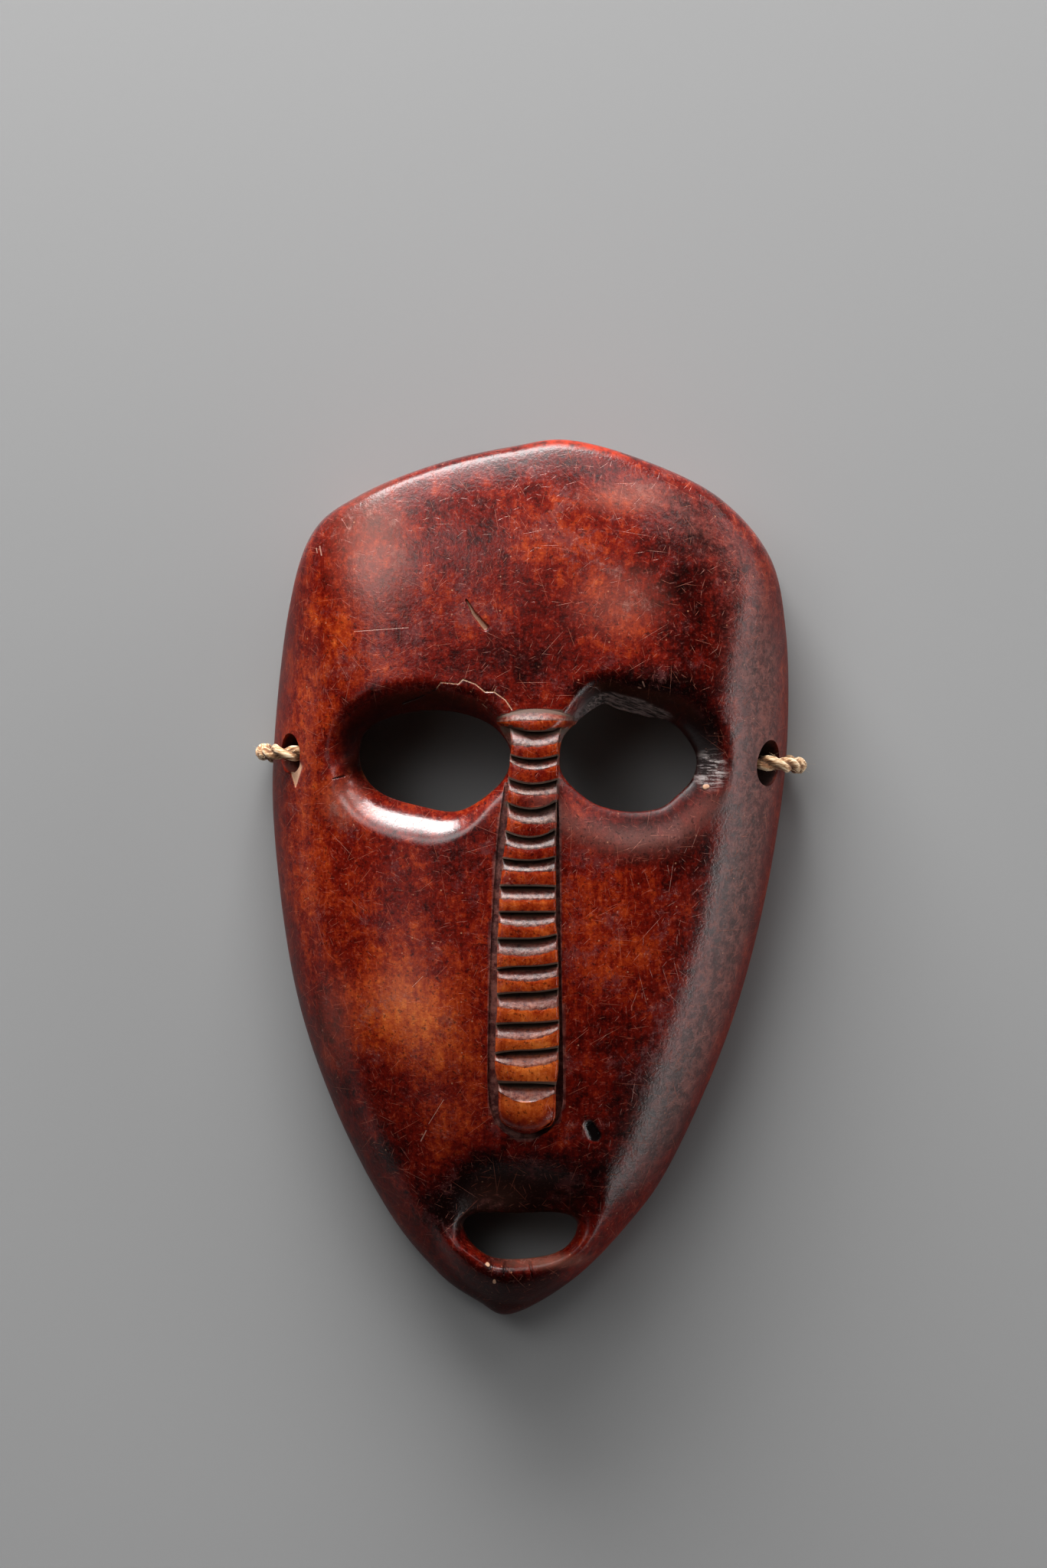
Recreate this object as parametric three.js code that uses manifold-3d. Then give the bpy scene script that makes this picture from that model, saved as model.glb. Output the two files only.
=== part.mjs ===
// A carved miniature mask with a notched nose ridge and a tie of twisted cord in each side.
// Sizes are in mm. The mask lies on its back: +X is the viewer's right, +Y the crown, +Z out of the face.
import * as THREE from 'three';
import { mergeVertices } from 'three/addons/utils/BufferGeometryUtils.js';
import Module from 'manifold-3d';

const wasm = await Module();
wasm.setup();

// The swell of the face. It rises over the widest line of the edge, more squarely at the crown.
const HEART = { x: 0, y: 4 };
const RIM = 3.6;
const CROWN_EDGE = { rise: 10, from: 0.55, over: 0.4 }; // the edge stands higher at the crown
const DOME = 17;
const SIDE_POWER = 2.4;
const CROWN_POWER = 7;
const CHIN_POWER = 2.2;

// The back: a flat land all round, lightly rounded outside, and a hollow inside it.
const LAND = 3.2;
const BACK_ROUND = 0.9;
const HOLLOW = 14.5;
const HOLLOW_POWER = 2.4;
const HOLLOW_CROWN_POWER = 5;

// The outline from the crown, clockwise, and the three openings.
const OUTLINE = [
  [4.5, 50], [13.4, 47.5], [21.5, 43.4], [27.2, 37], [29.2, 29], [29.6, 20], [28.9, 9.6], [26.4, -4.5],
  [22.3, -18.6], [16, -32.7], [11, -39.8], [4.7, -46.1], [-2.3, -50], [-6.1, -48.5], [-10.7, -45.2],
  [-16.5, -38], [-22.8, -25.7], [-27.3, -11.6], [-29.6, 6.1], [-29.4, 18.4], [-27.8, 30.8], [-24.9, 39.6],
  [-19.3, 43.9], [-10.5, 47.4], [-2.2, 49.3],
];
const LEFT_EYE = [
  [-19.4, 14.5], [-18.6, 17], [-15.4, 18.7], [-11, 19.3], [-7.2, 18.8], [-4.2, 17.4], [-2.5, 15.2],
  [-2.5, 12.9], [-4.2, 10.4], [-8.2, 8], [-12.8, 8.6], [-16.8, 9.9], [-18.9, 12],
];
const RIGHT_EYE = [
  [3.2, 14.4], [3.6, 16.3], [5.2, 18.1], [8.3, 20.1], [10.4, 19.3], [14, 18.5], [17, 16.9],
  [18.6, 14.2], [17.7, 10.9], [14.4, 8.4], [11.3, 7.9], [7.4, 8.7], [4.4, 10.9], [3.3, 12.8],
];
const MOUTH = [
  [-6.1, -38], [-1.4, -38], [3.2, -38], [5.2, -39], [4.6, -41.2], [2.3, -42.7], [-1.9, -43.2],
  [-4.9, -42.8], [-7.1, -41], [-7.7, -39],
];

// What the sockets take off the swell at an opening's edge, how wide, and how round the lid is:
// above, below, towards the ear and towards the nose.
const EYE = {
  depth: { above: 3.8, below: 0.4, outer: 2.6, inner: 0.9 },
  width: { above: 4.3, below: 2.6, outer: 3.4, inner: 0.8 },
  round: { above: 0.5, below: 2.3, outer: 0.9, inner: 0.4 },
};
const LIPS = {
  depth: { above: 0, below: 0, outer: 0, inner: 0 },
  width: { above: 0.7, below: 2.2, outer: 1.6, inner: 1.6 },
  round: { above: 0.5, below: 2, outer: 1.4, inner: 1.4 },
};
const FLARE = 0.8; // an opening is this much wider behind

// The upper lip is scooped out towards the mouth.
const SCOOP = { depth: 4, top: -29.3, bottom: -39.2, middle: -1.2, halfWidth: 10 };

// The lower lip is a roll round the sides and bottom of the mouth that dies into both cheeks.
const ROLL = { x: -1.3, y: -39.8, rise: 2, width: 5.4, end: 0.32 };
const ROLL_TURNS = 14;
const LIP_LIMIT = 0.975; // the roll stays this share inside the outline

// The nose: 15 rungs, each with a slanting top, a crest and a face that ends in a dark undercut.
const CRESTS = [18.2, 15.2, 12.6, 9.7, 6.6, 3.7, 1.2, -2, -5, -8.2, -11.1, -14.4, -17.7, -20.8, -24.3];
const TOP_SLANT = 1.3;
const FACE = 1.5;
const TIP_FACE = 3.7;
const TIP_ROUND = 1.4; // the tip's corners are cut back this much, and its hollowed top dips as much
const BRIDGE_SPREAD = [1.6, 2.3]; // the first rung flares past the ridge on the left and the right
const NOTCH_LIFT = 0.3; // floor of the notches, over the swell
const CREST_LIFT = 1.7;
const NOSE_RIGHT = 2.75;
const NOSE_LEFT_TOP = -2.2; // the left side runs out from here
const NOSE_LEFT_SPREAD = 1.9;
const NOSE_LEFT_LENGTH = 14;
const NOSE_TOP = 19.4;
const NOSE_END = -28.2;
const CHANNEL = { left: 1.6, right: 0.7, depth: 0.9, top: 9.5, end: -28.9 };

// The cord holes, bored square to the slanting cheek, and the ties.
const HOLES = [
  { name: 'left_cord_tie', side: -1, x: 26.8, y: 14.5, radius: 2.05 },
  { name: 'right_cord_tie', side: 1, x: 26.2, y: 13.4, radius: 2.4 },
];
const HOLE_TILT = THREE.MathUtils.degToRad(52);
const HOLE_HEIGHT = 10.8;
const HOLE_LENGTH = 14;
const CORD_REST = { wide: 1.6, high: 2.5 }; // the shallow rest for the cord across the land
const CORD_RADIUS = 0.75;
const CORD_SIDES = 8;
const KNOT = { x: 22.5, z: 4.1, radius: 1.45 };
const TIE_LOOP = [
  [22.5, 4.8], [22.7, 7.4], [24.3, 9.5], [26.2, 11.6], [28.1, 11.7], [29.6, 9.9], [30.5, 7], [30.72, 4.4],
  [30.5, 2.3], [29.6, 1.25], [27.6, 1.06], [25.2, 1.15], [23.2, 2.2], [22.6, 3.4],
];
const TAIL = [[0, 0], [0.5, 1.9], [0.2, 3.7], [-0.4, 5.2]]; // across and along, from the knot

const AROUND = 62;
const FRONT_SHARES = [0.15, 0.3, 0.43, 0.54, 0.63, 0.705, 0.77, 0.825, 0.87, 0.91, 0.945, 0.973, 0.992, 1];
const BACK_RINGS = 6;
const OPENING_STEPS = 30;
const CUT_TOP = 26; // cutters reach above the face and below the back
const OVER = 0.5;

const EVEN_TURNS = [-24, -16, -8, 0, 8, 16, 24].map(THREE.MathUtils.degToRad);
const smooth = (t) => THREE.MathUtils.smoothstep(t, 0, 1);

function closedCurve(points) {
  return new THREE.CatmullRomCurve3(points.map(([x, y]) => new THREE.Vector3(x, y, 0)), true, 'catmullrom');
}

// How far a closed curve is from a centre, in the direction of any point.
function reachOf(curve, centre) {
  const polar = curve.getSpacedPoints(720)
    .map((p) => [Math.atan2(p.y - centre.y, p.x - centre.x), Math.hypot(p.x - centre.x, p.y - centre.y)])
    .sort((a, b) => a[0] - b[0]);
  return (x, y) => {
    const angle = Math.atan2(y - centre.y, x - centre.x);
    const after = polar.findIndex((p) => p[0] >= angle);
    return polar[after < 0 ? 0 : after][1];
  };
}

const outline = closedCurve(OUTLINE);
const edgeReach = reachOf(outline, HEART);
const mouthReach = reachOf(closedCurve(MOUTH), ROLL);

// The outline's reach, evened out over a wide angle, so that its corners don't run up the face.
function evenReach(x, y) {
  const angle = Math.atan2(y - HEART.y, x - HEART.x);
  let sum = 0;
  for (const turn of EVEN_TURNS) sum += edgeReach(HEART.x + Math.cos(angle + turn), HEART.y + Math.sin(angle + turn));
  return sum / EVEN_TURNS.length;
}

// A value that changes with direction, from four named ones. The outer side is where x grows.
function around({ above, below, outer, inner }, across, up) {
  return (up > 0 ? above : below) * up * up + (across > 0 ? outer : inner) * across * across;
}

// How far out a point is, from 0 at the heart to 1 at the outline or a distance inside it.
function outShare(x, y, inside = 0) {
  const far = Math.hypot(x - HEART.x, y - HEART.y);
  const reach = edgeReach(x, y) - inside;
  const share = Math.min(1, far / reach);
  return Math.min(1, far / THREE.MathUtils.lerp(evenReach(x, y) - inside, reach, share ** 2));
}

// How much of the way to a point is towards the crown, from -1 to 1.
function upwards(x, y) {
  return (y - HEART.y) / (Math.hypot(x - HEART.x, y - HEART.y) || 1);
}

function face(x, y) {
  const up = upwards(x, y);
  const power = SIDE_POWER + ((up > 0 ? CROWN_POWER : CHIN_POWER) - SIDE_POWER) * up * up;
  const raised = CROWN_EDGE.rise * smooth((up - CROWN_EDGE.from) / CROWN_EDGE.over);
  return RIM + raised + (DOME - raised) * Math.sqrt(Math.max(0, 1 - outShare(x, y) ** power));
}

// How much the lower lip rises over the face.
function lipRise(x, y) {
  const far = Math.hypot(x - ROLL.x, y - ROLL.y) || 1;
  const share = (far - mouthReach(x, y)) / ROLL.width;
  const below = smooth((ROLL.end - (y - ROLL.y) / far) / (2 * ROLL.end));
  return share <= 0 || share >= 1 ? 0 : ROLL.rise * below * Math.sin(Math.PI * share ** 0.8);
}

function hollow(x, y) {
  const power = HOLLOW_POWER + (HOLLOW_CROWN_POWER - HOLLOW_POWER) * Math.max(0, upwards(x, y)) ** 2;
  return HOLLOW * Math.sqrt(Math.max(0, 1 - outShare(x, y, LAND) ** power));
}

// A closed body from a geometry: shared corners merged, faces turned outwards.
function solid(geometry) {
  geometry.deleteAttribute('normal');
  geometry.deleteAttribute('uv');
  const merged = mergeVertices(geometry, 1e-4);
  const at = merged.attributes.position;
  const corners = [];
  let volume = 0;
  const [a, b, c] = [new THREE.Vector3(), new THREE.Vector3(), new THREE.Vector3()];
  for (let i = 0; i < merged.index.count; i += 3) {
    const face = [merged.index.getX(i), merged.index.getX(i + 1), merged.index.getX(i + 2)];
    if (new Set(face).size < 3) continue;
    corners.push(...face);
    volume += a.fromBufferAttribute(at, face[0])
      .dot(b.fromBufferAttribute(at, face[1]).cross(c.fromBufferAttribute(at, face[2])));
  }
  if (volume < 0) corners.reverse();
  return new wasm.Manifold(new wasm.Mesh({
    numProp: 3,
    vertProperties: new Float32Array(at.array),
    triVerts: new Uint32Array(corners),
  }));
}

function geometryOf(body) {
  const { numProp, vertProperties, triVerts } = body.getMesh();
  const geometry = new THREE.BufferGeometry();
  const places = new Float32Array((vertProperties.length / numProp) * 3);
  for (let i = 0; i < places.length / 3; i++) {
    for (let k = 0; k < 3; k++) places[3 * i + k] = vertProperties[numProp * i + k];
  }
  geometry.setAttribute('position', new THREE.BufferAttribute(places, 3));
  geometry.setIndex(new THREE.BufferAttribute(new Uint32Array(triVerts), 1));
  geometry.computeVertexNormals();
  return geometry;
}

// A lathe turning bent to a closed curve. Each row of the turning says where it lies on a spoke.
function turnedTo(curve, rows, steps) {
  const spokes = curve.getSpacedPoints(steps);
  const profile = rows.map((row, i) => new THREE.Vector2(row.onAxis ? 0 : 1, i));
  const geometry = new THREE.LatheGeometry(profile, steps);
  const at = geometry.attributes.position;
  for (let i = 0; i < at.count; i++) {
    const place = rows[i % rows.length].place(spokes[Math.floor(i / rows.length)]);
    at.setXYZ(i, ...place);
  }
  return solid(geometry);
}

// A box whose every corner is moved by a function of its shares along, across and up.
function bent(along, across, place) {
  const geometry = new THREE.BoxGeometry(1, 1, 1, across, along, 1);
  const at = geometry.attributes.position;
  for (let i = 0; i < at.count; i++) at.setXYZ(i, ...place(at.getX(i) + 0.5, at.getY(i) + 0.5, at.getZ(i) > 0));
  return solid(geometry);
}

// A point of the outline pulled towards the heart by a share and then by a distance.
function inFrom(spoke, share, distance = 0) {
  const far = Math.hypot(spoke.x - HEART.x, spoke.y - HEART.y);
  const kept = Math.max(0, share - distance / far);
  return [HEART.x + (spoke.x - HEART.x) * kept, HEART.y + (spoke.y - HEART.y) * kept];
}

function blank() {
  const rows = [{ onAxis: true, place: () => [HEART.x, HEART.y, face(HEART.x, HEART.y)] }];
  for (const share of FRONT_SHARES) {
    rows.push({ place: (spoke) => {
      const [x, y] = inFrom(spoke, share);
      return [x, y, face(x, y)];
    } });
  }
  for (const turn of [30, 60, 90]) {
    const angle = THREE.MathUtils.degToRad(turn);
    const inwards = BACK_ROUND * (1 - Math.cos(angle));
    rows.push({ place: (spoke) => [...inFrom(spoke, 1, inwards), BACK_ROUND * (1 - Math.sin(angle))] });
  }
  rows.push({ onAxis: true, place: () => [HEART.x, HEART.y, 0] });
  return turnedTo(outline, rows, AROUND);
}

function hollowCutter() {
  const rows = [{ onAxis: true, place: () => [HEART.x, HEART.y, HOLLOW] }];
  for (let i = 1; i <= BACK_RINGS; i++) {
    const share = Math.sin((i / BACK_RINGS) * (Math.PI / 2));
    rows.push({ place: (spoke) => {
      const far = Math.hypot(spoke.x - HEART.x, spoke.y - HEART.y);
      const [x, y] = inFrom(spoke, share * (1 - LAND / far));
      return [x, y, i === BACK_RINGS ? 0 : hollow(x, y)];
    } });
  }
  rows.push({ place: (spoke) => [...inFrom(spoke, 1, LAND), -OVER] });
  rows.push({ onAxis: true, place: () => [HEART.x, HEART.y, -OVER] });
  return turnedTo(outline, rows, AROUND);
}

// The cutter for an opening: a socket sunk in the face, a rounded lid, and a hole that flares behind.
function openingCutter(points, outwards, { depth, width, round }) {
  const curve = closedCurve(points);
  const middle = curve.getSpacedPoints(OPENING_STEPS).slice(1)
    .reduce((sum, p) => sum.add(p), new THREE.Vector3()).divideScalar(OPENING_STEPS);
  // A ring a share of the socket's width outside the edge, at a level or on the sunk face.
  const ring = (share, level) => ({ place: (spoke) => {
    const far = Math.hypot(spoke.x - middle.x, spoke.y - middle.y);
    const [across, up] = [(spoke.x - middle.x) / far, (spoke.y - middle.y) / far];
    const out = share * around(width, across * outwards, up);
    const [x, y] = [spoke.x + across * out, spoke.y + up * out];
    if (level !== undefined) return [x, y, level];
    const lid = around(round, across * outwards, up);
    const inLid = Math.max(0, 1 - out / lid);
    const drop = around(depth, across * outwards, up) * (1 - smooth(share))
      + lid * (1 - Math.sqrt(1 - inLid * inLid));
    return [x, y, face(x, y) + lipRise(x, y) + (share > 1 ? OVER : -drop)];
  } });
  const rows = [{ onAxis: true, place: () => [middle.x, middle.y, CUT_TOP] }, ring(1.1, CUT_TOP), ring(1.1)];
  for (const share of [0.97, 0.8, 0.62, 0.45, 0.3, 0.17, 0.07, 0]) rows.push(ring(share));
  rows.push({ place: (spoke) => {
    const wider = 1 + FLARE / Math.hypot(spoke.x - middle.x, spoke.y - middle.y);
    return [middle.x + (spoke.x - middle.x) * wider, middle.y + (spoke.y - middle.y) * wider, -OVER];
  } });
  rows.push({ onAxis: true, place: () => [middle.x, middle.y, -OVER] });
  return turnedTo(curve, rows, OPENING_STEPS);
}

// The scoop over the mouth, deepest at its upper edge.
function lipScoop() {
  return bent(7, 8, (u, v, top) => {
    const y = THREE.MathUtils.lerp(SCOOP.bottom, SCOOP.top, v);
    const x = SCOOP.middle + (2 * u - 1) * SCOOP.halfWidth;
    const sunk = SCOOP.depth * smooth(1.15 * (1 - v)) * (1 - smooth(Math.abs(2 * u - 1)) ** 2);
    return [x, y, top ? CUT_TOP : face(x, y) + OVER - sunk - OVER * Math.min(1, sunk)];
  });
}

// The lower lip, from inside the mouth's edge out to the side of the chin.
function lowerLip() {
  return bent(ROLL_TURNS, 5, (u, v, top) => {
    const angle = THREE.MathUtils.lerp(Math.PI - ROLL.end, 2 * Math.PI + ROLL.end, v);
    const [across, up] = [Math.cos(angle), Math.sin(angle)];
    const far = mouthReach(ROLL.x + across, ROLL.y + up) - OVER + u * (ROLL.width + OVER);
    let [x, y] = [ROLL.x + across * far, ROLL.y + up * far];
    const share = outShare(x, y);
    if (share > LIP_LIMIT) {
      x = HEART.x + (x - HEART.x) * (LIP_LIMIT / share);
      y = HEART.y + (y - HEART.y) * (LIP_LIMIT / share);
    }
    const rise = u === 0 ? ROLL.rise / 2 : lipRise(x, y);
    return [x, y, face(x, y) + (top ? rise - 0.05 : -2)];
  });
}

function noseLeft(y) {
  return NOSE_LEFT_TOP - NOSE_LEFT_SPREAD * (1 - Math.exp(-Math.max(0, CRESTS[1] - y) / NOSE_LEFT_LENGTH));
}

// The bar under the rungs.
function noseBar() {
  return bent(10, 2, (u, v, top) => {
    const y = THREE.MathUtils.lerp(NOSE_END, NOSE_TOP, v);
    const inset = 1.2 * Math.max(0, 1 - v * 10);
    const x = THREE.MathUtils.lerp(noseLeft(y) + inset, NOSE_RIGHT - inset, u);
    return [x, y, face(0, y) + (top ? NOTCH_LIFT : -3)];
  });
}

// One rung: its rows are the foot of the face, the face, the crest and the top of the slant.
function rung(index) {
  const crest = CRESTS[index];
  if (index === CRESTS.length - 1) return noseTip(crest);
  const [left, right] = index === 0 ? BRIDGE_SPREAD : [0, 0];
  const rows = [-FACE, -FACE / 2, 0, TOP_SLANT];
  const lifts = [CREST_LIFT - 0.35, CREST_LIFT - 0.1, CREST_LIFT, NOTCH_LIFT];
  return bent(3, 6, (u, v, top) => {
    const row = Math.round(v * 3);
    const side = Math.abs(2 * u - 1);
    const spread = u < 0.5 ? left : right;
    const y = crest + rows[row] * (spread ? 1 - 0.75 * side ** 2 : 1) + 0.25 * side ** 2;
    const x = THREE.MathUtils.lerp(noseLeft(y) - left, NOSE_RIGHT + right, u);
    const arch = (spread ? 1.5 : 0.45) * side ** 3;
    const level = face(0, y);
    return [x, y, top ? level + Math.max(NOTCH_LIFT - 0.1, lifts[row] - arch) : level - 1];
  });
}

// The last rung is the tip: a smooth knob, hollowed like a smile above.
function noseTip(crest) {
  const rows = [-TIP_FACE, 0.9 - TIP_FACE, -1.4, 0, TOP_SLANT];
  const lifts = [NOTCH_LIFT, CREST_LIFT - 0.3, CREST_LIFT + 0.2, CREST_LIFT + 0.1, NOTCH_LIFT];
  return bent(4, 6, (u, v, top) => {
    const row = Math.round(v * 4);
    const side = Math.abs(2 * u - 1);
    const y = crest + rows[row] + TIP_ROUND * side ** 2 * (row === 0 || row > 2 ? 1 : 0.5);
    const inset = row === 0 ? 0.8 : 0;
    const x = THREE.MathUtils.lerp(noseLeft(y) + inset, NOSE_RIGHT - inset, u);
    const level = face(0, y);
    return [x, y, top ? level + lifts[row] * (1 - 0.25 * side ** 3) : level - 1];
  });
}

// The chiselled channel along one side of the nose.
function channel(side) {
  const wide = side < 0 ? CHANNEL.left : CHANNEL.right;
  return bent(14, 1, (u, v, top) => {
    const y = THREE.MathUtils.lerp(CHANNEL.end, CHANNEL.top, v);
    const grown = wide * (0.35 + 0.65 * smooth(1 - v));
    const inner = side < 0 ? noseLeft(y) - grown : NOSE_RIGHT - 0.2;
    const x = inner + u * (grown + 0.2);
    return [x, y, face(x, y) + (top ? 2 : -CHANNEL.depth)];
  });
}

function cordHole({ side, x, y, radius }) {
  const bore = new THREE.CylinderGeometry(radius, radius, HOLE_LENGTH, 20);
  bore.rotateX(Math.PI / 2).rotateY(side * HOLE_TILT).translate(side * x, y, HOLE_HEIGHT);
  const rest = new THREE.CylinderGeometry(1, 1, 12, 16);
  rest.rotateZ(Math.PI / 2).scale(1, CORD_REST.wide, CORD_REST.high).translate(side * 27, y, 0);
  return solid(bore).add(solid(rest));
}

function carvedMask() {
  let body = blank().subtract(hollowCutter());
  for (const side of [-1, 1]) body = body.subtract(channel(side));
  body = body.subtract(lipScoop());
  body = body.subtract(openingCutter(LEFT_EYE, -1, EYE));
  body = body.subtract(openingCutter(RIGHT_EYE, 1, EYE));
  body = body.add(noseBar());
  for (let i = 0; i < CRESTS.length; i++) body = body.add(rung(i));
  body = body.add(lowerLip());
  body = body.subtract(openingCutter(MOUTH, 1, LIPS));
  for (const hole of HOLES) body = body.subtract(cordHole(hole));
  return body;
}

function cord(points, steps) {
  const section = new THREE.Shape().absarc(0, 0, CORD_RADIUS, 0, 2 * Math.PI);
  return solid(new THREE.ExtrudeGeometry(section, {
    extrudePath: new THREE.CatmullRomCurve3(points), steps, curveSegments: CORD_SIDES / 2, bevelEnabled: false,
  }));
}

// A tie: once through the hole and round the edge, knotted inside the hollow, with two short tails.
function cordTie({ side, y }) {
  let body = cord(TIE_LOOP.map(([x, z]) => new THREE.Vector3(side * x, y, z)), 24);
  for (const along of [-1, 1]) {
    const tail = TAIL.map(([x, far]) => new THREE.Vector3(side * (KNOT.x - x), y + along * far, KNOT.z - 0.25 * far));
    body = body.add(cord(tail, 4));
  }
  const knot = new THREE.SphereGeometry(KNOT.radius, 8, 6);
  knot.scale(1, 1.15, 1).translate(side * KNOT.x, y, KNOT.z);
  return body.add(solid(knot));
}

function named(name, body, color, roughness) {
  const mesh = new THREE.Mesh(
    geometryOf(body),
    new THREE.MeshStandardMaterial({ color, roughness, metalness: 0, flatShading: true }),
  );
  mesh.name = name;
  return mesh;
}

const mask = new THREE.Group();
mask.add(named('mask', carvedMask(), 0x7a1f0c, 0.35));
for (const hole of HOLES) mask.add(named(hole.name, cordTie(hole), 0xb79268, 0.9));

export default mask;
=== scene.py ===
# %% [markdown]
# # A carved miniature mask
# The real object is one small piece of dense, bone-like material, 100 mm tall, hollow behind and polished
# by handling until its patina turned deep red. Here it lies on its back rim, with its face up.
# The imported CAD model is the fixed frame: it gives the place and the size of every piece, in metres, with
# +X to the viewer's right, +Y to the crown and +Z out of the face. The carving is worked out in
# millimetres, as its source is, and turned to metres as each piece is finished.

# %% the frame
import functools
import math
import operator

import bmesh
import bpy
import numpy as np
from mathutils import Matrix, Vector, kdtree, noise


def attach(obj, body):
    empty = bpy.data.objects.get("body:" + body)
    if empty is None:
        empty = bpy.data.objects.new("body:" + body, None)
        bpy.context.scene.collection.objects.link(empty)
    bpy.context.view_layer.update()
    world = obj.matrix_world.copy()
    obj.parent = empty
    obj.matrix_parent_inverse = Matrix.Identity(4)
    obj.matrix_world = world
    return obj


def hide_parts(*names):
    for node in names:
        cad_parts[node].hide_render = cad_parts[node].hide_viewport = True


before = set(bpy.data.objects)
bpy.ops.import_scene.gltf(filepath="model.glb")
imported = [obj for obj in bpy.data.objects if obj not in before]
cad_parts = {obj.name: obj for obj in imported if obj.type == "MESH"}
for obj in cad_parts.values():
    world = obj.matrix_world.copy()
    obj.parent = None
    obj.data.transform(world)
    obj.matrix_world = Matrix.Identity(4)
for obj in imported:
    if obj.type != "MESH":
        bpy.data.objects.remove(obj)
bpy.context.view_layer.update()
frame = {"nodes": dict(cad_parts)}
MM = 0.001
print("frame:", ", ".join(frame["nodes"]))

# %% [markdown]
# ## The camera and the floor
# The photograph looks straight at the face, so the camera looks straight down on the lying mask. A long
# lens, 650 mm away, keeps the near nose and the far rim almost the same size. Blender measures a tall
# picture's lens against its long side. The floor is one plain pale sheet, which isn't part of the object.

# %% camera and floor
CAMERA_OVER = (-0.88, 11.03, 653.0)
LENS, SENSOR = 129.4, 36.0
NEAREST_SEEN = 50.0
FLOOR_HALF = 1500.0

camera = bpy.data.objects.new("camera", bpy.data.cameras.new("camera"))
camera.data.lens = LENS
camera.data.sensor_width = SENSOR
camera.data.clip_start = NEAREST_SEEN * MM
camera.location = Vector(CAMERA_OVER) * MM
bpy.context.collection.objects.link(camera)
bpy.context.scene.camera = camera


def keep(bm, name, closed=True):
    """Turns a finished bmesh into an object at the origin, a closed one with its faces outwards."""
    if closed:
        bmesh.ops.recalc_face_normals(bm, faces=list(bm.faces))
    mesh = bpy.data.meshes.new(name)
    bm.to_mesh(mesh)
    bm.free()
    made = bpy.data.objects.new(name, mesh)
    bpy.context.collection.objects.link(made)
    return made


bm = bmesh.new()
bmesh.ops.create_grid(bm, x_segments=1, y_segments=1, size=FLOOR_HALF * MM)
floor = keep(bm, "floor", closed=False)
print("camera: %.0f mm over the floor, lens %.1f mm" % (CAMERA_OVER[2], LENS))

# %% [markdown]
# ## The lines of the carving
# A carver draws the outline and the openings first. Each is a closed curve through a few points, the same
# points that the CAD model has. Two questions come back all the time: how far is a place from such a line,
# and how far does the line reach in a direction. A small class answers both for thousands of places at
# once.

# %% points of the lines
HEART = np.array([0.0, 4.0])  # the middle of the face, between the eyes and the nose
OUTLINE = [
    (4.5, 50), (13.4, 47.5), (21.5, 43.4), (27.2, 37), (29.2, 29), (29.6, 20), (28.9, 9.6), (26.4, -4.5),
    (22.3, -18.6), (16, -32.7), (11, -39.8), (4.7, -46.1), (-2.3, -50), (-6.1, -48.5), (-10.7, -45.2),
    (-16.5, -38), (-22.8, -25.7), (-27.3, -11.6), (-29.6, 6.1), (-29.4, 18.4), (-27.8, 30.8), (-24.9, 39.6),
    (-19.3, 43.9), (-10.5, 47.4), (-2.2, 49.3),
]
LEFT_EYE = [
    (-19.4, 14.5), (-18.6, 17), (-15.4, 18.7), (-11, 19.3), (-7.2, 18.8), (-4.2, 17.4), (-2.5, 15.2),
    (-2.5, 12.9), (-4.2, 10.4), (-8.2, 8), (-12.8, 8.6), (-16.8, 9.9), (-18.9, 12),
]
RIGHT_EYE = [
    (3.2, 14.4), (3.6, 16.3), (5.2, 18.1), (6.8, 19.4), (8.3, 20.1), (9.8, 19.5), (12.9, 18.7), (15.5, 18.1),
    (17.2, 16.7), (18.6, 14.2), (18.2, 11.7), (16.3, 9.6), (14.4, 8.3), (11.3, 7.9), (8.6, 8.3), (6.6, 9.1),
    (4.4, 10.9), (3.3, 12.6),
]
MOUTH = [
    (-6.1, -38), (-1.4, -38), (3.2, -38), (5.2, -39), (4.6, -41.2), (2.3, -42.7), (-1.9, -43.2),
    (-4.9, -42.8), (-7.1, -41), (-7.7, -39),
]
print("points given:", [len(points) for points in (OUTLINE, LEFT_EYE, RIGHT_EYE, MOUTH)])

# %% smooth lines
POINTS_BETWEEN = 24  # how many points are drawn from one given point to the next


def through(before, here, after, later, t):
    """The smooth curve from here to after, a share t of the way, bent by the points on either side."""
    leave, arrive = (after - before) / 2, (later - here) / 2
    return ((2 * t**3 - 3 * t**2 + 1) * here + (t**3 - 2 * t**2 + t) * leave
            + (3 * t**2 - 2 * t**3) * after + (t**3 - t**2) * arrive)


def polar(places, centre=HEART):
    """How far each place is from a centre, and in which direction."""
    spoke = places - centre
    return np.hypot(spoke[:, 0], spoke[:, 1]), np.arctan2(spoke[:, 1], spoke[:, 0])


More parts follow.
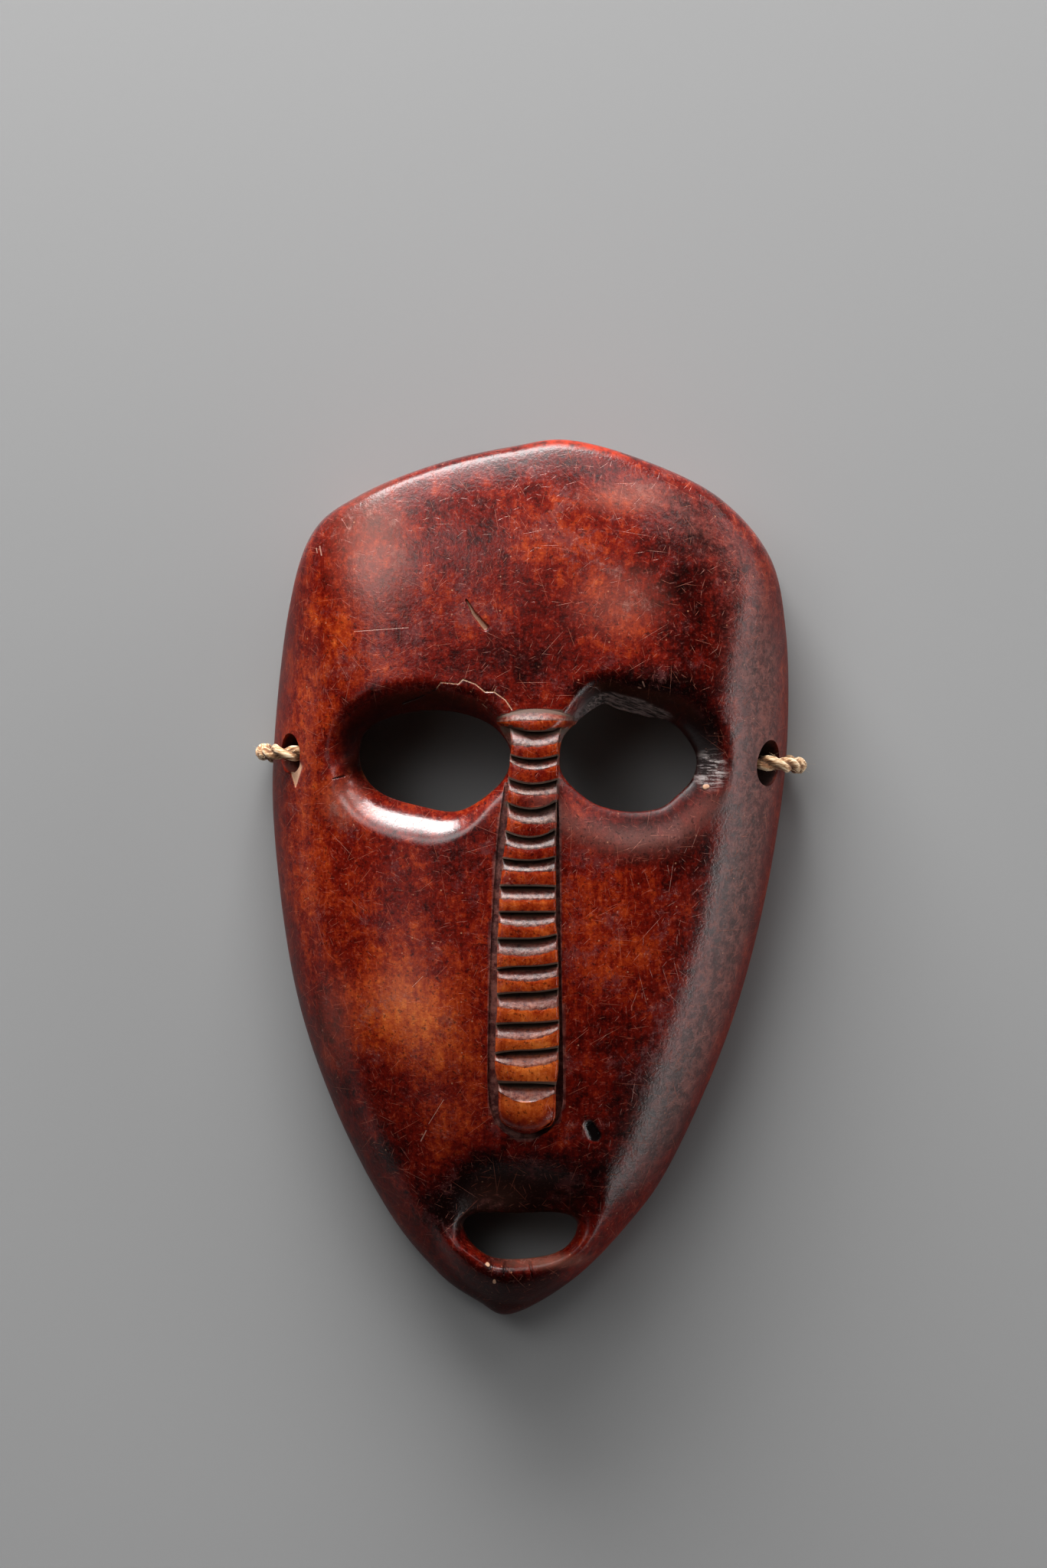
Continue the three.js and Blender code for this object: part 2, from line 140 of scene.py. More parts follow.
class Line:
    """A closed smooth line through some points, with a centre that it goes round."""

    def __init__(self, points, centre=None):
        at = np.array(points, float)
        before, here, after, later = (np.roll(at, turn, axis=0) for turn in (1, 0, -1, -2))
        t = np.linspace(0, 1, POINTS_BETWEEN, endpoint=False)[:, None, None]
        self.at = through(before, here, after, later, t).transpose(1, 0, 2).reshape(-1, 2)
        self.centre = self.at.mean(0) if centre is None else np.array(centre)
        reaches, angles = polar(self.at, self.centre)
        turn = np.argsort(angles)
        self.angles, self.reaches = angles[turn], reaches[turn]
        self.tree = kdtree.KDTree(len(self.at))
        for k, (x, y) in enumerate(self.at):
            self.tree.insert((x, y, 0), k)
        self.tree.balance()

    def reach(self, angle):
        return np.interp(angle, self.angles, self.reaches, period=2 * np.pi)

    def nearest(self, places):
        """The nearest points of the line, and how far outside it the places are."""
        found = np.array([self.tree.find((x, y, 0))[1] for x, y in places])
        feet, best = np.empty_like(places), np.full(len(places), np.inf)
        for turn in (-1, 0):  # the stretch before the nearest drawn point, and the one after it
            start = self.at[(found + turn) % len(self.at)]
            step = self.at[(found + turn + 1) % len(self.at)] - start
            share = np.clip(((places - start) * step).sum(1) / (step**2).sum(1), 0, 1)
            foot = start + share[:, None] * step
            far = np.hypot(*(places - foot).T)
            feet[far < best], best = foot[far < best], np.minimum(far, best)
        far, angle = polar(places, self.centre)
        return feet, np.where(far < self.reach(angle), -best, best)


edge = Line(OUTLINE, HEART)
print("outline:", len(edge.at), "points")

# %% [markdown]
# ## The swell of the face
# The front is a low dome over the widest line of the edge: squarer at the crown, rounder at the chin. A
# share of the way out, 0 at the heart and 1 at the outline, gives its height. The outline's reach is evened
# out over a wide angle near the middle, so that its small corners don't run up the face as creases. The
# crown slopes down gently and then turns over in a tight corner, which is where the photograph's brightest
# line lies.

# %% a share of the way out
EVEN_TURNS = np.radians([-24, -16, -8, 0, 8, 16, 24])
CLOSE_IN = 12  # rounds that find a place from its share


def smooth(t):
    """0 below 0, 1 above 1, and an even slope between."""
    t = np.clip(t, 0, 1)
    return t * t * (3 - 2 * t)


def fade(value, start, over):
    """0 at the start and 1 once past it by over. A negative over looks the other way."""
    return smooth((value - start) / over)


def reaches(angle, inside):
    even = sum(edge.reach(angle + turn) for turn in EVEN_TURNS) / len(EVEN_TURNS)
    return edge.reach(angle) - inside, even - inside


def share_out(places, inside=0.0):
    """The share of the way out, to the outline or to a line some way inside it."""
    far, angle = polar(places)
    reach, even = reaches(angle, inside)
    return np.clip(far / (even + (reach - even) * np.clip(far / reach, 0, 1)**2), 0, 1)


def place_at(share, angle, inside=0.0):
    """The place with a given share of the way out, found by closing in on it."""
    reach, even = reaches(angle, inside)
    far = share * reach
    for _ in range(CLOSE_IN):
        far = share * (even + (reach - even) * (far / reach)**2)
    return HEART + far[:, None] * np.stack([np.cos(angle), np.sin(angle)], 1)


print("the brow is %.2f of the way out" % share_out(np.array([[0.0, 24.0]]))[0])

# %% swell of the face
RIM, DOME = 3.6, 17.0
CROWN_EDGE = dict(rise=10.0, start=0.55, over=0.4)  # the edge stands higher at the crown
SIDE_POWER, CROWN_POWER, CHIN_POWER = 2.4, 7.0, 2.2
CROWN_SLOPE = dict(share=0.63, power=6, corner=150)  # the gentle part's share, its power and the corner's
AT_CHIN = (-0.7, -0.25)  # from where on, counted upwards round the heart, the chin's own measures hold


def swell_power(angle):
    up = np.sin(angle)
    return SIDE_POWER + (np.where(up > 0, CROWN_POWER, CHIN_POWER) - SIDE_POWER) * up**2


def raised(angle):
    return CROWN_EDGE["rise"] * fade(np.sin(angle), CROWN_EDGE["start"], CROWN_EDGE["over"])


def swell_height(share, angle):
    """How high the swell is a share of the way out."""
    rim, crown = RIM + raised(angle), raised(angle) / CROWN_EDGE["rise"]
    rounded = np.sqrt(1 - share**swell_power(angle))
    gentle, corner = share**CROWN_SLOPE["power"], 1 - np.sqrt(1 - share**CROWN_SLOPE["corner"])
    cornered = 1 - corner - (gentle - corner) * CROWN_SLOPE["share"]
    return rim + (RIM + DOME - rim) * (rounded + (cornered - rounded) * crown)


def swell(places):
    return swell_height(share_out(places), polar(places)[1])


def at_chin(angle):
    return fade(np.sin(angle), *AT_CHIN)


print("height at the heart: %.1f mm" % swell(HEART[None])[0])

# %% [markdown]
# ## The hollow behind
# The back is a second, lower dome inside a flat strip, the land, that the mask lies on. It is guessed from
# masks of this kind, because the photograph shows only the front. Between the two domes the wall is about 6
# mm thick.

# %% hollow of the back
LAND, CHIN_LAND = 3.2, 1.9  # the land's width, and where the mouth leaves it less room
HOLLOW, HOLLOW_POWER, HOLLOW_CROWN_POWER = 14.5, 2.4, 5.0


def land(angle):
    return LAND + (CHIN_LAND - LAND) * at_chin(angle)


def hollow_power(angle):
    return HOLLOW_POWER + (HOLLOW_CROWN_POWER - HOLLOW_POWER) * np.maximum(np.sin(angle), 0)**2


def hollow(places):
    angle = polar(places)[1]
    return HOLLOW * np.sqrt(1 - share_out(places, land(angle))**hollow_power(angle))


print("wall at the heart: %.1f mm" % (swell(HEART[None]) - hollow(HEART[None]))[0])

# %% [markdown]
# ## The openings
# Round each opening the face is first sunk into a socket and then rolls over into the hole. How deep, how
# wide and how round changes on the way round, so each opening has a small table: one row for an angle,
# counted from the ear side (0) over the top (90) to the nose (180) and back below. Reading between the rows
# and evening them out keeps the lids free of kinks. The upper edge of the right eye is broken off, and
# rolls over in a straight facet instead of a round.

# %% openings
EVEN_DEGREES = 21  # the rows are evened out over this angle


class Opening:
    """A hole through the face. Rows: angle, socket depth and width, roll out and down, straightness."""

    def __init__(self, points, rows, ear=1, flare=0.8, slopes=((0, 1), (1, 1))):
        self.line, self.ear, self.flare = Line(points), ear, flare
        self.steps = np.linspace(0, 1, 101)
        drop = np.cumsum(np.interp(self.steps, *np.array(slopes, float).T))
        self.facet = (drop - drop[0]) / (drop[-1] - drop[0])
        rows = np.array(rows, float)
        table = [np.interp(np.arange(360), rows[:, 0], column, period=360) for column in rows[:, 1:].T]
        window = np.hanning(EVEN_DEGREES) / np.hanning(EVEN_DEGREES).sum()
        wrapped = [np.pad(row, EVEN_DEGREES // 2, mode="wrap") for row in table]
        self.table = [np.convolve(row, window, "valid") for row in wrapped]

    def form(self, places):
        """The table's five measures at each place."""
        spoke = (places - self.line.centre) * (self.ear, 1)
        angle = np.degrees(np.arctan2(spoke[:, 1], spoke[:, 0]))
        return [np.interp(angle, np.arange(360), row, period=360) for row in self.table]


LEFT = Opening(LEFT_EYE, [
    (0, 2.8, 4.4, 1.3, 1.0, 0), (12, 3.0, 4.2, 0.9, 0.8, 0), (45, 3.3, 3.8, 0.6, 0.6, 0),
    (90, 3.4, 3.4, 0.5, 0.5, 0), (135, 2.4, 2.8, 0.45, 0.45, 0), (165, 1.2, 1.2, 0.4, 0.4, 0),
    (180, 0.9, 0.8, 0.35, 0.4, 0), (200, 0.5, 1.0, 0.7, 0.7, 0.2), (222, 0.2, 2.0, 1.4, 1.2, 0.6),
    (238, 0.2, 3.0, 2.2, 1.7, 1), (255, 0.2, 3.0, 3.2, 2.3, 1), (272, 0.2, 4.0, 4.1, 2.9, 1),
    (300, 0.3, 4.0, 4.8, 3.3, 1), (325, 0.3, 4.0, 5.0, 4.0, 1), (339, 0.3, 3.8, 5.0, 4.0, 0.9),
    (352, 2.0, 4.4, 3.2, 2.5, 0.6),
], ear=-1, slopes=((0, 0), (0.42, 1), (0.68, 1.1), (0.8, 1.9), (1, 2.0)))
RIGHT = Opening(RIGHT_EYE, [
    (0, 2.2, 4.0, 1.0, 0.9, 0), (30, 3.8, 4.8, 0.8, 0.8, 0), (50, 3.8, 4.6, 1.0, 1.0, 0.6),
    (70, 3.6, 4.2, 1.5, 1.5, 1), (90, 3.4, 4.0, 1.4, 1.5, 1), (115, 3.0, 3.4, 0.9, 1.2, 1),
    (130, 2.4, 2.8, 0.5, 0.6, 0.5), (150, 1.6, 1.8, 0.45, 0.45, 0), (180, 0.9, 0.8, 0.35, 0.4, 0),
    (210, 0.6, 1.6, 0.5, 0.4, 0), (235, 1.0, 3.0, 0.7, 0.5, 0), (270, 1.2, 4.4, 0.8, 0.6, 0),
    (300, 1.2, 4.4, 1.1, 0.8, 0), (330, 1.3, 4.2, 1.2, 0.9, 0),
])
LIPS = Opening(MOUTH, [
    (0, 0, 1, 1.0, 1.2, 0), (40, 0, 1, 0.6, 0.7, 0), (90, 0, 1, 0.5, 0.5, 0), (140, 0, 1, 0.7, 0.7, 0),
    (180, 0, 1, 1.4, 1.4, 0), (225, 0, 1, 1.7, 1.6, 0), (270, 0, 1, 1.6, 1.5, 0), (315, 0, 1, 1.4, 1.4, 0),
    (345, 0, 1, 1.0, 1.3, 0),
], flare=0.3)
OPENINGS = [LEFT, RIGHT, LIPS]
print("openings:", [len(opening.line.at) for opening in OPENINGS], "points")

# %% [markdown]
# ## The height of the carved front
# Everything that isn't an edge can be one height over each place: the swell, less the sockets and the scoop
# over the mouth, plus the lower lip and the faint waves that a blade leaves. One formula for the whole
# front keeps every form blended into the next, as in the polished original, which pushing separate solids
# together can't do.

# %% height of the front
SCOOP = dict(depth=4.0, top=-29.3, bottom=-39.2, middle=-1.2, half=10.0, fade=3.5, full=1.15)
ROLL = dict(at=(-1.3, -39.8), rise=1.85, below=5.4, left=3.6, right=3.2, end=0.32, lean=0.88)
WAVES = [(11.0, 0.13), (4.3, 0.045)]  # length and height of the blade's waves
mouth_roll = Line(MOUTH, ROLL["at"])


def sockets(places):
    sunk = np.zeros(len(places))
    for eye in (LEFT, RIGHT):
        far = eye.line.nearest(places)[1]
        depth, width = eye.form(places)[:2]
        sunk += depth * (1 - smooth(far / width))
    return sunk


def scoop(places):
    x, y = places.T
    along = (y - SCOOP["bottom"]) / (SCOOP["top"] - SCOOP["bottom"])
    side = np.abs(x - SCOOP["middle"]) / SCOOP["half"]
    end = smooth(1 + (y - SCOOP["bottom"]) / SCOOP["fade"])
    return SCOOP["depth"] * smooth(SCOOP["full"] * (1 - along)) * (1 - smooth(side)**2) * end


def lip_rise(places):
    far, angle = polar(places, ROLL["at"])
    across, up = np.cos(angle), np.sin(angle)
    width = ROLL["below"] * up**2 + np.where(across > 0, ROLL["right"], ROLL["left"]) * across**2
    share = np.clip((far - mouth_roll.reach(angle)) / width, 0, 1)
    below = smooth((ROLL["end"] - up) / (2 * ROLL["end"]))
    return ROLL["rise"] * below * np.sin(np.pi * share**ROLL["lean"])


def grain(places, length, seed=0.0):
    """Smooth noise between -1 and 1, the same in every run."""
    return np.array([noise.noise(Vector((x, y, seed))) for x, y in places / length])


def carving(places):
    """What is cut into the swell or left standing on it."""
    waves = sum(high * grain(places, long, long) for long, high in WAVES)
    return lip_rise(places) - sockets(places) - scoop(places) + waves


def front(places):
    return swell(places) + carving(places)


print("front at the brow: %.1f mm" % front(np.array([[0.0, 24.0]]))[0])

# %% [markdown]
# ## The sheet
# The body starts as a flat grid. Its cells are split once near the openings, the faces that fall into an
# opening or past the outline are deleted, and the ragged border that is left is drawn onto the true lines.
# Letting the nearby points relax between the draws evens out the squeezed cells. The sheet stops a little
# short of each edge, because a curled edge is better made from rings that follow it.

# %% borders of the sheet
SHEET_SHARE, CHIN_SHARE = 0.955, 0.975  # the sheet's share of the way out; the rings go on from there


def flat(verts):
    return np.array([v.co.xy for v in verts])


def sheet_share(angle):
    return SHEET_SHARE + (CHIN_SHARE - SHEET_SHARE) * at_chin(angle)


def margins(places):
    """How far the places are inside the sheet: one column for the outline, one for each opening."""
    far, angle = polar(places)
    border = polar(place_at(sheet_share(angle), angle))[0]
    columns = [border - far]
    for opening in OPENINGS:
        columns.append(opening.line.nearest(places)[1] - opening.form(places)[2])
    return np.stack(columns, 1)


def to_border(places, which):
    """The points of one of the sheet's borders that belong to the places."""
    if which == 0:
        angle = polar(places)[1]
        return place_at(sheet_share(angle), angle)
    opening = OPENINGS[which - 1]
    feet, far = opening.line.nearest(places)
    away = (places - feet) / far[:, None]
    return feet + away * opening.form(places)[2][:, None]


print("margins at the heart:", margins(HEART[None])[0].round(1))

# %% the sheet
CELL = 0.5
SHEET_HALF = (30.5, 50.5)
SPLIT_WITHIN = 1.2  # of an opening, in mm
CUT_PAST, RELAX_WITHIN = 0.35, 2.2  # in cells
RELAX_TURNS = 14


def split_faces(bm, faces, picked):
    """Splits each edge of the picked faces in two. A dict drops doubles and keeps the order."""
    edges = dict.fromkeys(e for f, hit in zip(faces, picked) if hit for e in f.edges)
    bmesh.ops.subdivide_edges(bm, edges=list(edges), cuts=1, use_grid_fill=True)


def middles(faces):
    return np.array([f.calc_center_median().xy for f in faces])


def near_border(verts, within):
    """The points that are less than this far inside the sheet's borders."""
    return [v for v, near in zip(verts, (margins(flat(verts)) < within).any(1)) if near]


def border_loops(bm):
    """The border's points, sorted by the border they are nearest to."""
    verts = [v for v in bm.verts if v.is_boundary]
    nearest = np.abs(margins(flat(verts))).argmin(1)
    return [[v for v, k in zip(verts, nearest) if k == which] for which in range(1 + len(OPENINGS))]


bm = bmesh.new()
border = bm.verts.layers.int.new("border")
down = bm.verts.layers.float.new("down")
wide, high = SHEET_HALF
bmesh.ops.create_grid(bm, x_segments=round(2 * wide / CELL), y_segments=round(2 * high / CELL), size=1,
                      matrix=Matrix.Diagonal((wide, high, 1, 1)))
faces = list(bm.faces)
split_faces(bm, faces, (np.abs(margins(middles(faces))[:, 1:]) < SPLIT_WITHIN).any(1))
gone = set(near_border(bm.verts, -CUT_PAST * CELL))
bmesh.ops.delete(bm, geom=[f for f in bm.faces if gone.intersection(f.verts)], context="FACES")
for _ in range(3):  # no face may hang on by one point or one thin corner
    loose = [f for f in bm.faces if sum(e.is_boundary for e in f.edges) > 2]
    bmesh.ops.delete(bm, geom=loose, context="FACES")
loops = border_loops(bm)
edge_band = near_border(bm.verts, RELAX_WITHIN * CELL)
for turn in range(RELAX_TURNS):
    for which, loop in enumerate(loops):
        for v, (x, y) in zip(loop, to_border(flat(loop), which)):
            v.co.x, v.co.y = x, y
    if turn < RELAX_TURNS - 1:
        bmesh.ops.smooth_vert(bm, verts=edge_band, factor=0.5, use_axis_x=True, use_axis_y=True)
print("sheet:", len(bm.faces), "faces; borders of", [len(loop) for loop in loops], "points")

# %% [markdown]
# ## Rims, lids and the hollow back
# Extruding the whole sheet once gives the mask its two sides: the copy becomes the carved front, the first
# sheet the hollow back, and a wall of one face stands round each border. Those walls are cut into many
# steps. Two numbers are stored on every point, the border it belongs to and how far down it is, so that
# each step can be drawn to its own place afterwards.

# %% front, back and walls
def wall_steps(**counts):
    """The steps of a wall from front to back: the name of each stretch, and how far along it they are."""
    steps = [(kind, k / count) for kind, count in counts.items() for k in range(1, count + 1)]
    return steps[:-1]  # the last one is the back itself


RIM_STEPS = wall_steps(front=11, side=2, round=4, land=2, inner=7)
LID_STEPS = wall_steps(lid=12, wall=6, lip=3)


def extrude_sheet(bm):
    """Extrudes every face, keeps the first sheet, and gives the points of the second."""
    made = bmesh.ops.extrude_face_region(bm, geom=list(bm.faces), use_keep_orig=True)["geom"]
    return [item for item in made if isinstance(item, bmesh.types.BMVert)]


for which, loop in enumerate(loops, 1):
    for v in loop:
        v[border] = which
front_verts = set(extrude_sheet(bm))
for v in bm.verts:
    v[down] = 0.0 if v in front_verts else 1.0
for which, steps in enumerate([RIM_STEPS, LID_STEPS, LID_STEPS, LID_STEPS], 1):
    upright = [e for e in bm.edges if e.verts[0][down] != e.verts[1][down] and e.verts[0][border] == which]
    bmesh.ops.subdivide_edges(bm, edges=upright, cuts=len(steps), use_grid_fill=False)
print("with its walls:", len(bm.faces), "faces;", sum(e.is_boundary for e in bm.edges), "open edges")

# %% [markdown]
# ## Where each step lies
# Round the outline the wall goes on over the front's corner, down the side, round the lower edge, over the
# flat land and up into the hollow. In an opening it rolls over the lid, goes down the hole, which widens a
# little towards the back, and ends in a small round. Every stretch is a formula, so the curl of the edges
# is as smooth as the number of steps allows, and the ring of points that the front ends in stays where it
# is.

# %% places of the back and the rim
BACK_ROUND = 0.9
BACK_SHARE = 0.99
BACK_LIP = 0.3  # an opening's edge is rounded this much behind
BACK_REACH = 4.0  # the back is drawn out to the openings' wider back over this distance
TINY = 1e-9


def behind(places):
    """The sheet drawn to the back: in from the rim by the land, and out to the openings' wider back."""
    gap = margins(places)
    angle = polar(places)[1]
    share = share_out(places) * BACK_SHARE / sheet_share(angle)
    pulled = place_at(share, angle, land(angle))
    opening_gap = np.maximum(gap[:, 1:], 0)
    weight = opening_gap.min(1) / (opening_gap.min(1) + np.maximum(gap[:, 0], 0) + TINY)
    moved = places + (pulled - places) * weight[:, None]
    for k, opening in enumerate(OPENINGS):
        feet, out = opening.line.nearest(places)
        away = (places - feet) / np.maximum(out, TINY)[:, None]
        wider = opening.flare + BACK_LIP - opening.form(places)[2]
        near = (1 - weight) * np.clip(1 - opening_gap[:, k] / BACK_REACH, 0, 1)**2
        moved += away * (wider * near)[:, None]
    return moved


def rim_place(places, kind, t):
    """Where a step of the outline's wall lies, and its height."""
    angle = polar(places)[1]
    on_edge = place_at(np.ones(len(places)), angle)
    inwards = (HEART - on_edge) / polar(on_edge)[0][:, None]
    rim = RIM + raised(angle)
    turn = np.pi / 2 * t
    if kind == "front":
        power = swell_power(angle)
        first = np.arcsin(sheet_share(angle)**(power / 2))
        share = np.sin(first + (np.pi / 2 - first) * t)**(2 / power)
        at = place_at(share, angle)
        return at, swell_height(share, angle) + carving(at) * (1 - t)
    if kind == "side":
        return on_edge, rim + (BACK_ROUND - rim) * t
    if kind == "round":
        at = on_edge + inwards * BACK_ROUND * (1 - math.cos(turn))
        return at, np.full(len(places), BACK_ROUND * (1 - math.sin(turn)))
    if kind == "land":
        inside = BACK_ROUND + (land(angle) - BACK_ROUND) * t
        return on_edge + inwards * inside[:, None], np.zeros(len(places))
    power = hollow_power(angle)
    last = np.arcsin(BACK_SHARE**(power / 2))
    turn = np.pi / 2 + (last - np.pi / 2) * t
    return place_at(np.sin(turn)**(2 / power), angle, land(angle)), HOLLOW * np.cos(turn)


print("rim: %d steps, %d round each lid" % (len(RIM_STEPS), len(LID_STEPS)))

# %% places round the openings
THINNEST = 0.3  # an opening's wall is at least this tall


def lid_place(opening, places, kind, t):
    """Where a step of an opening's wall lies, and its height."""
    _, _, out, sink, straight = opening.form(places)
    feet, far = opening.line.nearest(places)
    away = (places - feet) / far[:, None]
    turn = np.pi / 2 * t
    round_out, round_down = 1 - math.sin(turn), 1 - math.cos(turn)
    if kind == "lid":
        facet = np.interp(t, opening.steps, opening.facet)
        at = feet + away * (out * (round_out + (1 - t - round_out) * straight))[:, None]
        return at, front(at) - sink * (round_down + (facet - round_down) * straight)
    top = front(feet) - sink
    wide_at = feet + away * opening.flare
    bottom = np.minimum(hollow(wide_at) + BACK_LIP, top - THINNEST)
    if kind == "wall":
        return feet + (wide_at - feet) * t, top + (bottom - top) * t
    return wide_at + away * BACK_LIP * (1 - math.cos(turn)), bottom - BACK_LIP * math.sin(turn)


def step_of(v):
    """The border and the step that a point of the body belongs to."""
    if v[down] in (0, 1):
        return ("back",) if v[down] else ("front",)
    steps = RIM_STEPS if v[border] == 1 else LID_STEPS
    return v[border], *steps[round(v[down] * (len(steps) + 1)) - 1]


groups = {}
for v in bm.verts:
    groups.setdefault(step_of(v), []).append(v)
for (which, *step), verts in groups.items():
    places = flat(verts)
    if which == "front":
        at, z = places, front(places)
    elif which == "back":
        at = behind(places)
        z = hollow(at)
    elif which == 1:
        at, z = rim_place(places, *step)
    else:
        at, z = lid_place(OPENINGS[which - 2], places, *step)
    for v, (x, y), up in zip(verts, at, z):
        v.co = (x, y, up)
print("settled: %.1f cm3" % (abs(bm.calc_volume()) / 1000), "over", len(bm.faces), "faces")

# %% [markdown]
# ## Chips, cracks and cuts
# The real mask has a few marks of its long use: a nick in the brow, a hair crack over the left eye, a chip
# under the left cord hole, cuts of the knife across the lower lip. Each is a short polyline with a width at
# its start and end and a depth. The front's faces are split again and again near them, down to the width of
# a hair, and their points are sunk. The same lines colour the marks later, some paler and some darker than
# the patina, and one pale line on the edge of the pit is a painted glint.

# %% marks
def mark(at, wide, deep, pale=0.0, dark=0.0):
    return dict(at=np.array(at, float), wide=wide, deep=deep, pale=pale, dark=dark)


MARKS = {
    "nick": mark([(-7.3, 31.7), (-6.5, 30.2), (-5.2, 28.6)], (0.12, 0.5), 0.35, pale=0.5, dark=0.4),
    "speck": mark([(19.6, 10.7), (19.85, 10.75)], (0.4, 0.35), -0.12, pale=1.0),
    "lip_crumb": mark([(-5.0, -43.6), (-4.9, -43.7)], (0.3, 0.28), -0.08, pale=1.0),
    "chin_crumb": mark([(-4.2, -45.5), (-4.2, -45.7)], (0.22, 0.28), -0.06, pale=1.0),
    "crack": mark([
        (-10.67, 21.72), (-10.14, 22.43), (-8.21, 22.25), (-7.68, 22.77), (-6.28, 22.25), (-5.22, 21.37),
        (-4.17, 21.37), (-2.94, 20.49), (-2.2, 19.4),
    ], (0.09, 0.1), 0.08, pale=0.9),
    "spur": mark([(-4.17, 21.37), (-3.95, 22.0)], (0.1, 0.05), 0.06, pale=0.6),
    "seam": mark([
        (-14.5, 20.1), (-13.0, 20.6), (-12.0, 21.0), (-10.67, 21.72),
    ], (0.12, 0.08), 0.08, dark=1.0),
    "slip": mark([(-6.1, 20.5), (-5.0, 19.6)], (0.12, 0.16), 0.1, pale=0.4),
    "pit": mark([(6.6, -27.6), (7.2, -28.7)], (0.9, 1.1), 0.3, dark=1.0),
    # painted highlight: a pale glint along the pit's edge
    "pit_glint": mark([(5.9, -27.5), (5.8, -28.6)], (0.14, 0.1), 0.0, pale=0.35),
    "hole_chip": mark([(-26.75, 12.9), (-26.8, 10.7)], (1.15, 0.1), 0.4, pale=0.8),
    "corner": mark([(-22.4, 11.6), (-21.2, 11.9)], (0.1, 0.2), 0.12, dark=0.6),
    "lip_cut": mark([(-3.0, -43.4), (-3.1, -44.7)], (0.3, 0.12), 0.2, dark=0.5),
    "lip_cut_right": mark([(-0.1, -43.5), (0.1, -45.1)], (0.3, 0.1), 0.2, dark=0.45),
    "lip_trim": mark([(-4.6, -43.3), (-4.5, -44.8)], (0.2, 0.1), 0.1, dark=0.4),
}


def mark_gap(places, line, wide):
    """How far the places are from a mark's line, and the mark's width there."""
    far, width = np.full(len(places), np.inf), np.zeros(len(places))
    spans = len(line) - 1
    for k in range(spans):
        step = line[k + 1] - line[k]
        share = np.clip((places - line[k]) @ step / (step @ step), 0, 1)
        gap = np.hypot(*(places - line[k] - share[:, None] * step).T)
        width = np.where(gap < far, np.interp((k + share) / spans, (0, 1), wide), width)
        far = np.minimum(far, gap)
    return far, width


def mark_strength(places, one):
    """1 in the middle of a mark, 0 past its edge."""
    far, width = mark_gap(places, one["at"], one["wide"])
    return smooth(1.5 * (1 - far / width))


print("marks:", ", ".join(MARKS))

# %% sinking the marks
SPLIT_NEAR = [(1.3, 0.3), (1.1, 0.12), (1.0, 0.05)]  # for each split, a share of a mark's width and more mm
MARKED_DOWN_TO = 0.45  # how far down the walls a mark may reach

for share, extra in SPLIT_NEAR:
    faces = [f for f in bm.faces if all(v[down] < MARKED_DOWN_TO for v in f.verts)]
    centres = middles(faces)
    picked = np.zeros(len(faces), bool)
    for one in MARKS.values():
        far, width = mark_gap(centres, one["at"], one["wide"])
        picked |= far < width * share + extra
    split_faces(bm, faces, picked)
sheet_front = [v for v in bm.verts if v[down] == 0]
for v, z in zip(sheet_front, front(flat(sheet_front))):
    v.co.z = z
marked = [v for v in bm.verts if v[down] < MARKED_DOWN_TO]
sunk = sum(one["deep"] * mark_strength(flat(marked), one) for one in MARKS.values())
for v, deep in zip(marked, sunk):
    v.co.z -= deep
bmesh.ops.triangulate(bm, faces=[f for f in bm.faces if len(f.verts) > 4])
print("with its marks:", len(bm.faces), "faces, open edges:", sum(e.is_boundary for e in bm.edges))
body = keep(bm, "mask_body")

# %% [markdown]
# ## The notched nose
# The nose is a bar with 15 rungs, like the teeth of a saw seen from the side: a slant that faces the crown,
# a sharp crest, a face that looks at the viewer, and a dark undercut. It starts as a grid with a row for
# each bend of the saw line, so every crest is a true edge. Each rung has its own place, ends and bow,
# because the carver cut them one by one. The last rung is the smooth tip. Along the right side runs a thin
# ledge.

# %% rungs
RUNGS = np.array([  # top, crest, foot, left, right, and the rise of crest and foot to the left and the right
    (19.46, 18.17, 16.88, -3.85, 4.95, -0.20, 0.00, 0.45, 0.20),
    (16.71, 15.16, 13.78, -2.21, 2.85, 0.25, 0.50, 0.50, 0.40),
    (13.52, 12.58, 10.99, -2.42, 2.80, 0.95, 0.54, 0.67, 0.47),
    (10.77, 9.74, 8.19, -2.64, 2.74, 0.60, 0.13, 0.67, 0.80),
    (7.59, 6.56, 5.01, -2.68, 2.60, 0.80, 0.10, 0.70, 0.80),
    (4.66, 3.72, 2.43, -2.99, 2.52, 0.50, 0.30, 0.30, 0.40),
    (2.00, 1.22, -0.41, -3.33, 2.52, 0.15, 0.10, 0.00, -0.10),
    (-1.01, -1.96, -3.34, -3.59, 2.52, 0.10, 0.15, 0.00, 0.00),
    (-3.94, -4.97, -6.35, -3.68, 2.52, 0.50, 0.50, 0.00, 0.45),
    (-7.21, -8.24, -9.44, -3.85, 2.72, 0.30, 0.75, -0.30, 0.30),
    (-10.13, -11.08, -12.37, -3.85, 2.80, 0.40, 0.55, -0.25, 0.35),
    (-12.88, -14.35, -15.81, -3.85, 2.80, 0.40, 0.35, -0.20, 0.20),
    (-16.41, -17.70, -18.91, -4.02, 2.90, 0.30, 1.10, -0.40, 0.30),
    (-19.59, -20.80, -22.60, -4.11, 2.80, 0.80, 0.80, 0.00, -0.20),
    (-23.21, -24.75, -28.60, -3.70, 2.50, 1.25, 0.93, 0.00, 0.00),
])
LAST = len(RUNGS) - 1
NOTCH, CREST, FOOT_DROP = 0.1, 1.75, 0.18  # heights over the swell, and how far a face falls to its foot
UNDERCUT = 0.16
ARCH = 0.28  # how much lower a crest is at its ends
EDGE_DROP = 0.06  # how much a crest's edge is worn down
STEEPER = 0.45  # how much steeper a slant is in its notch
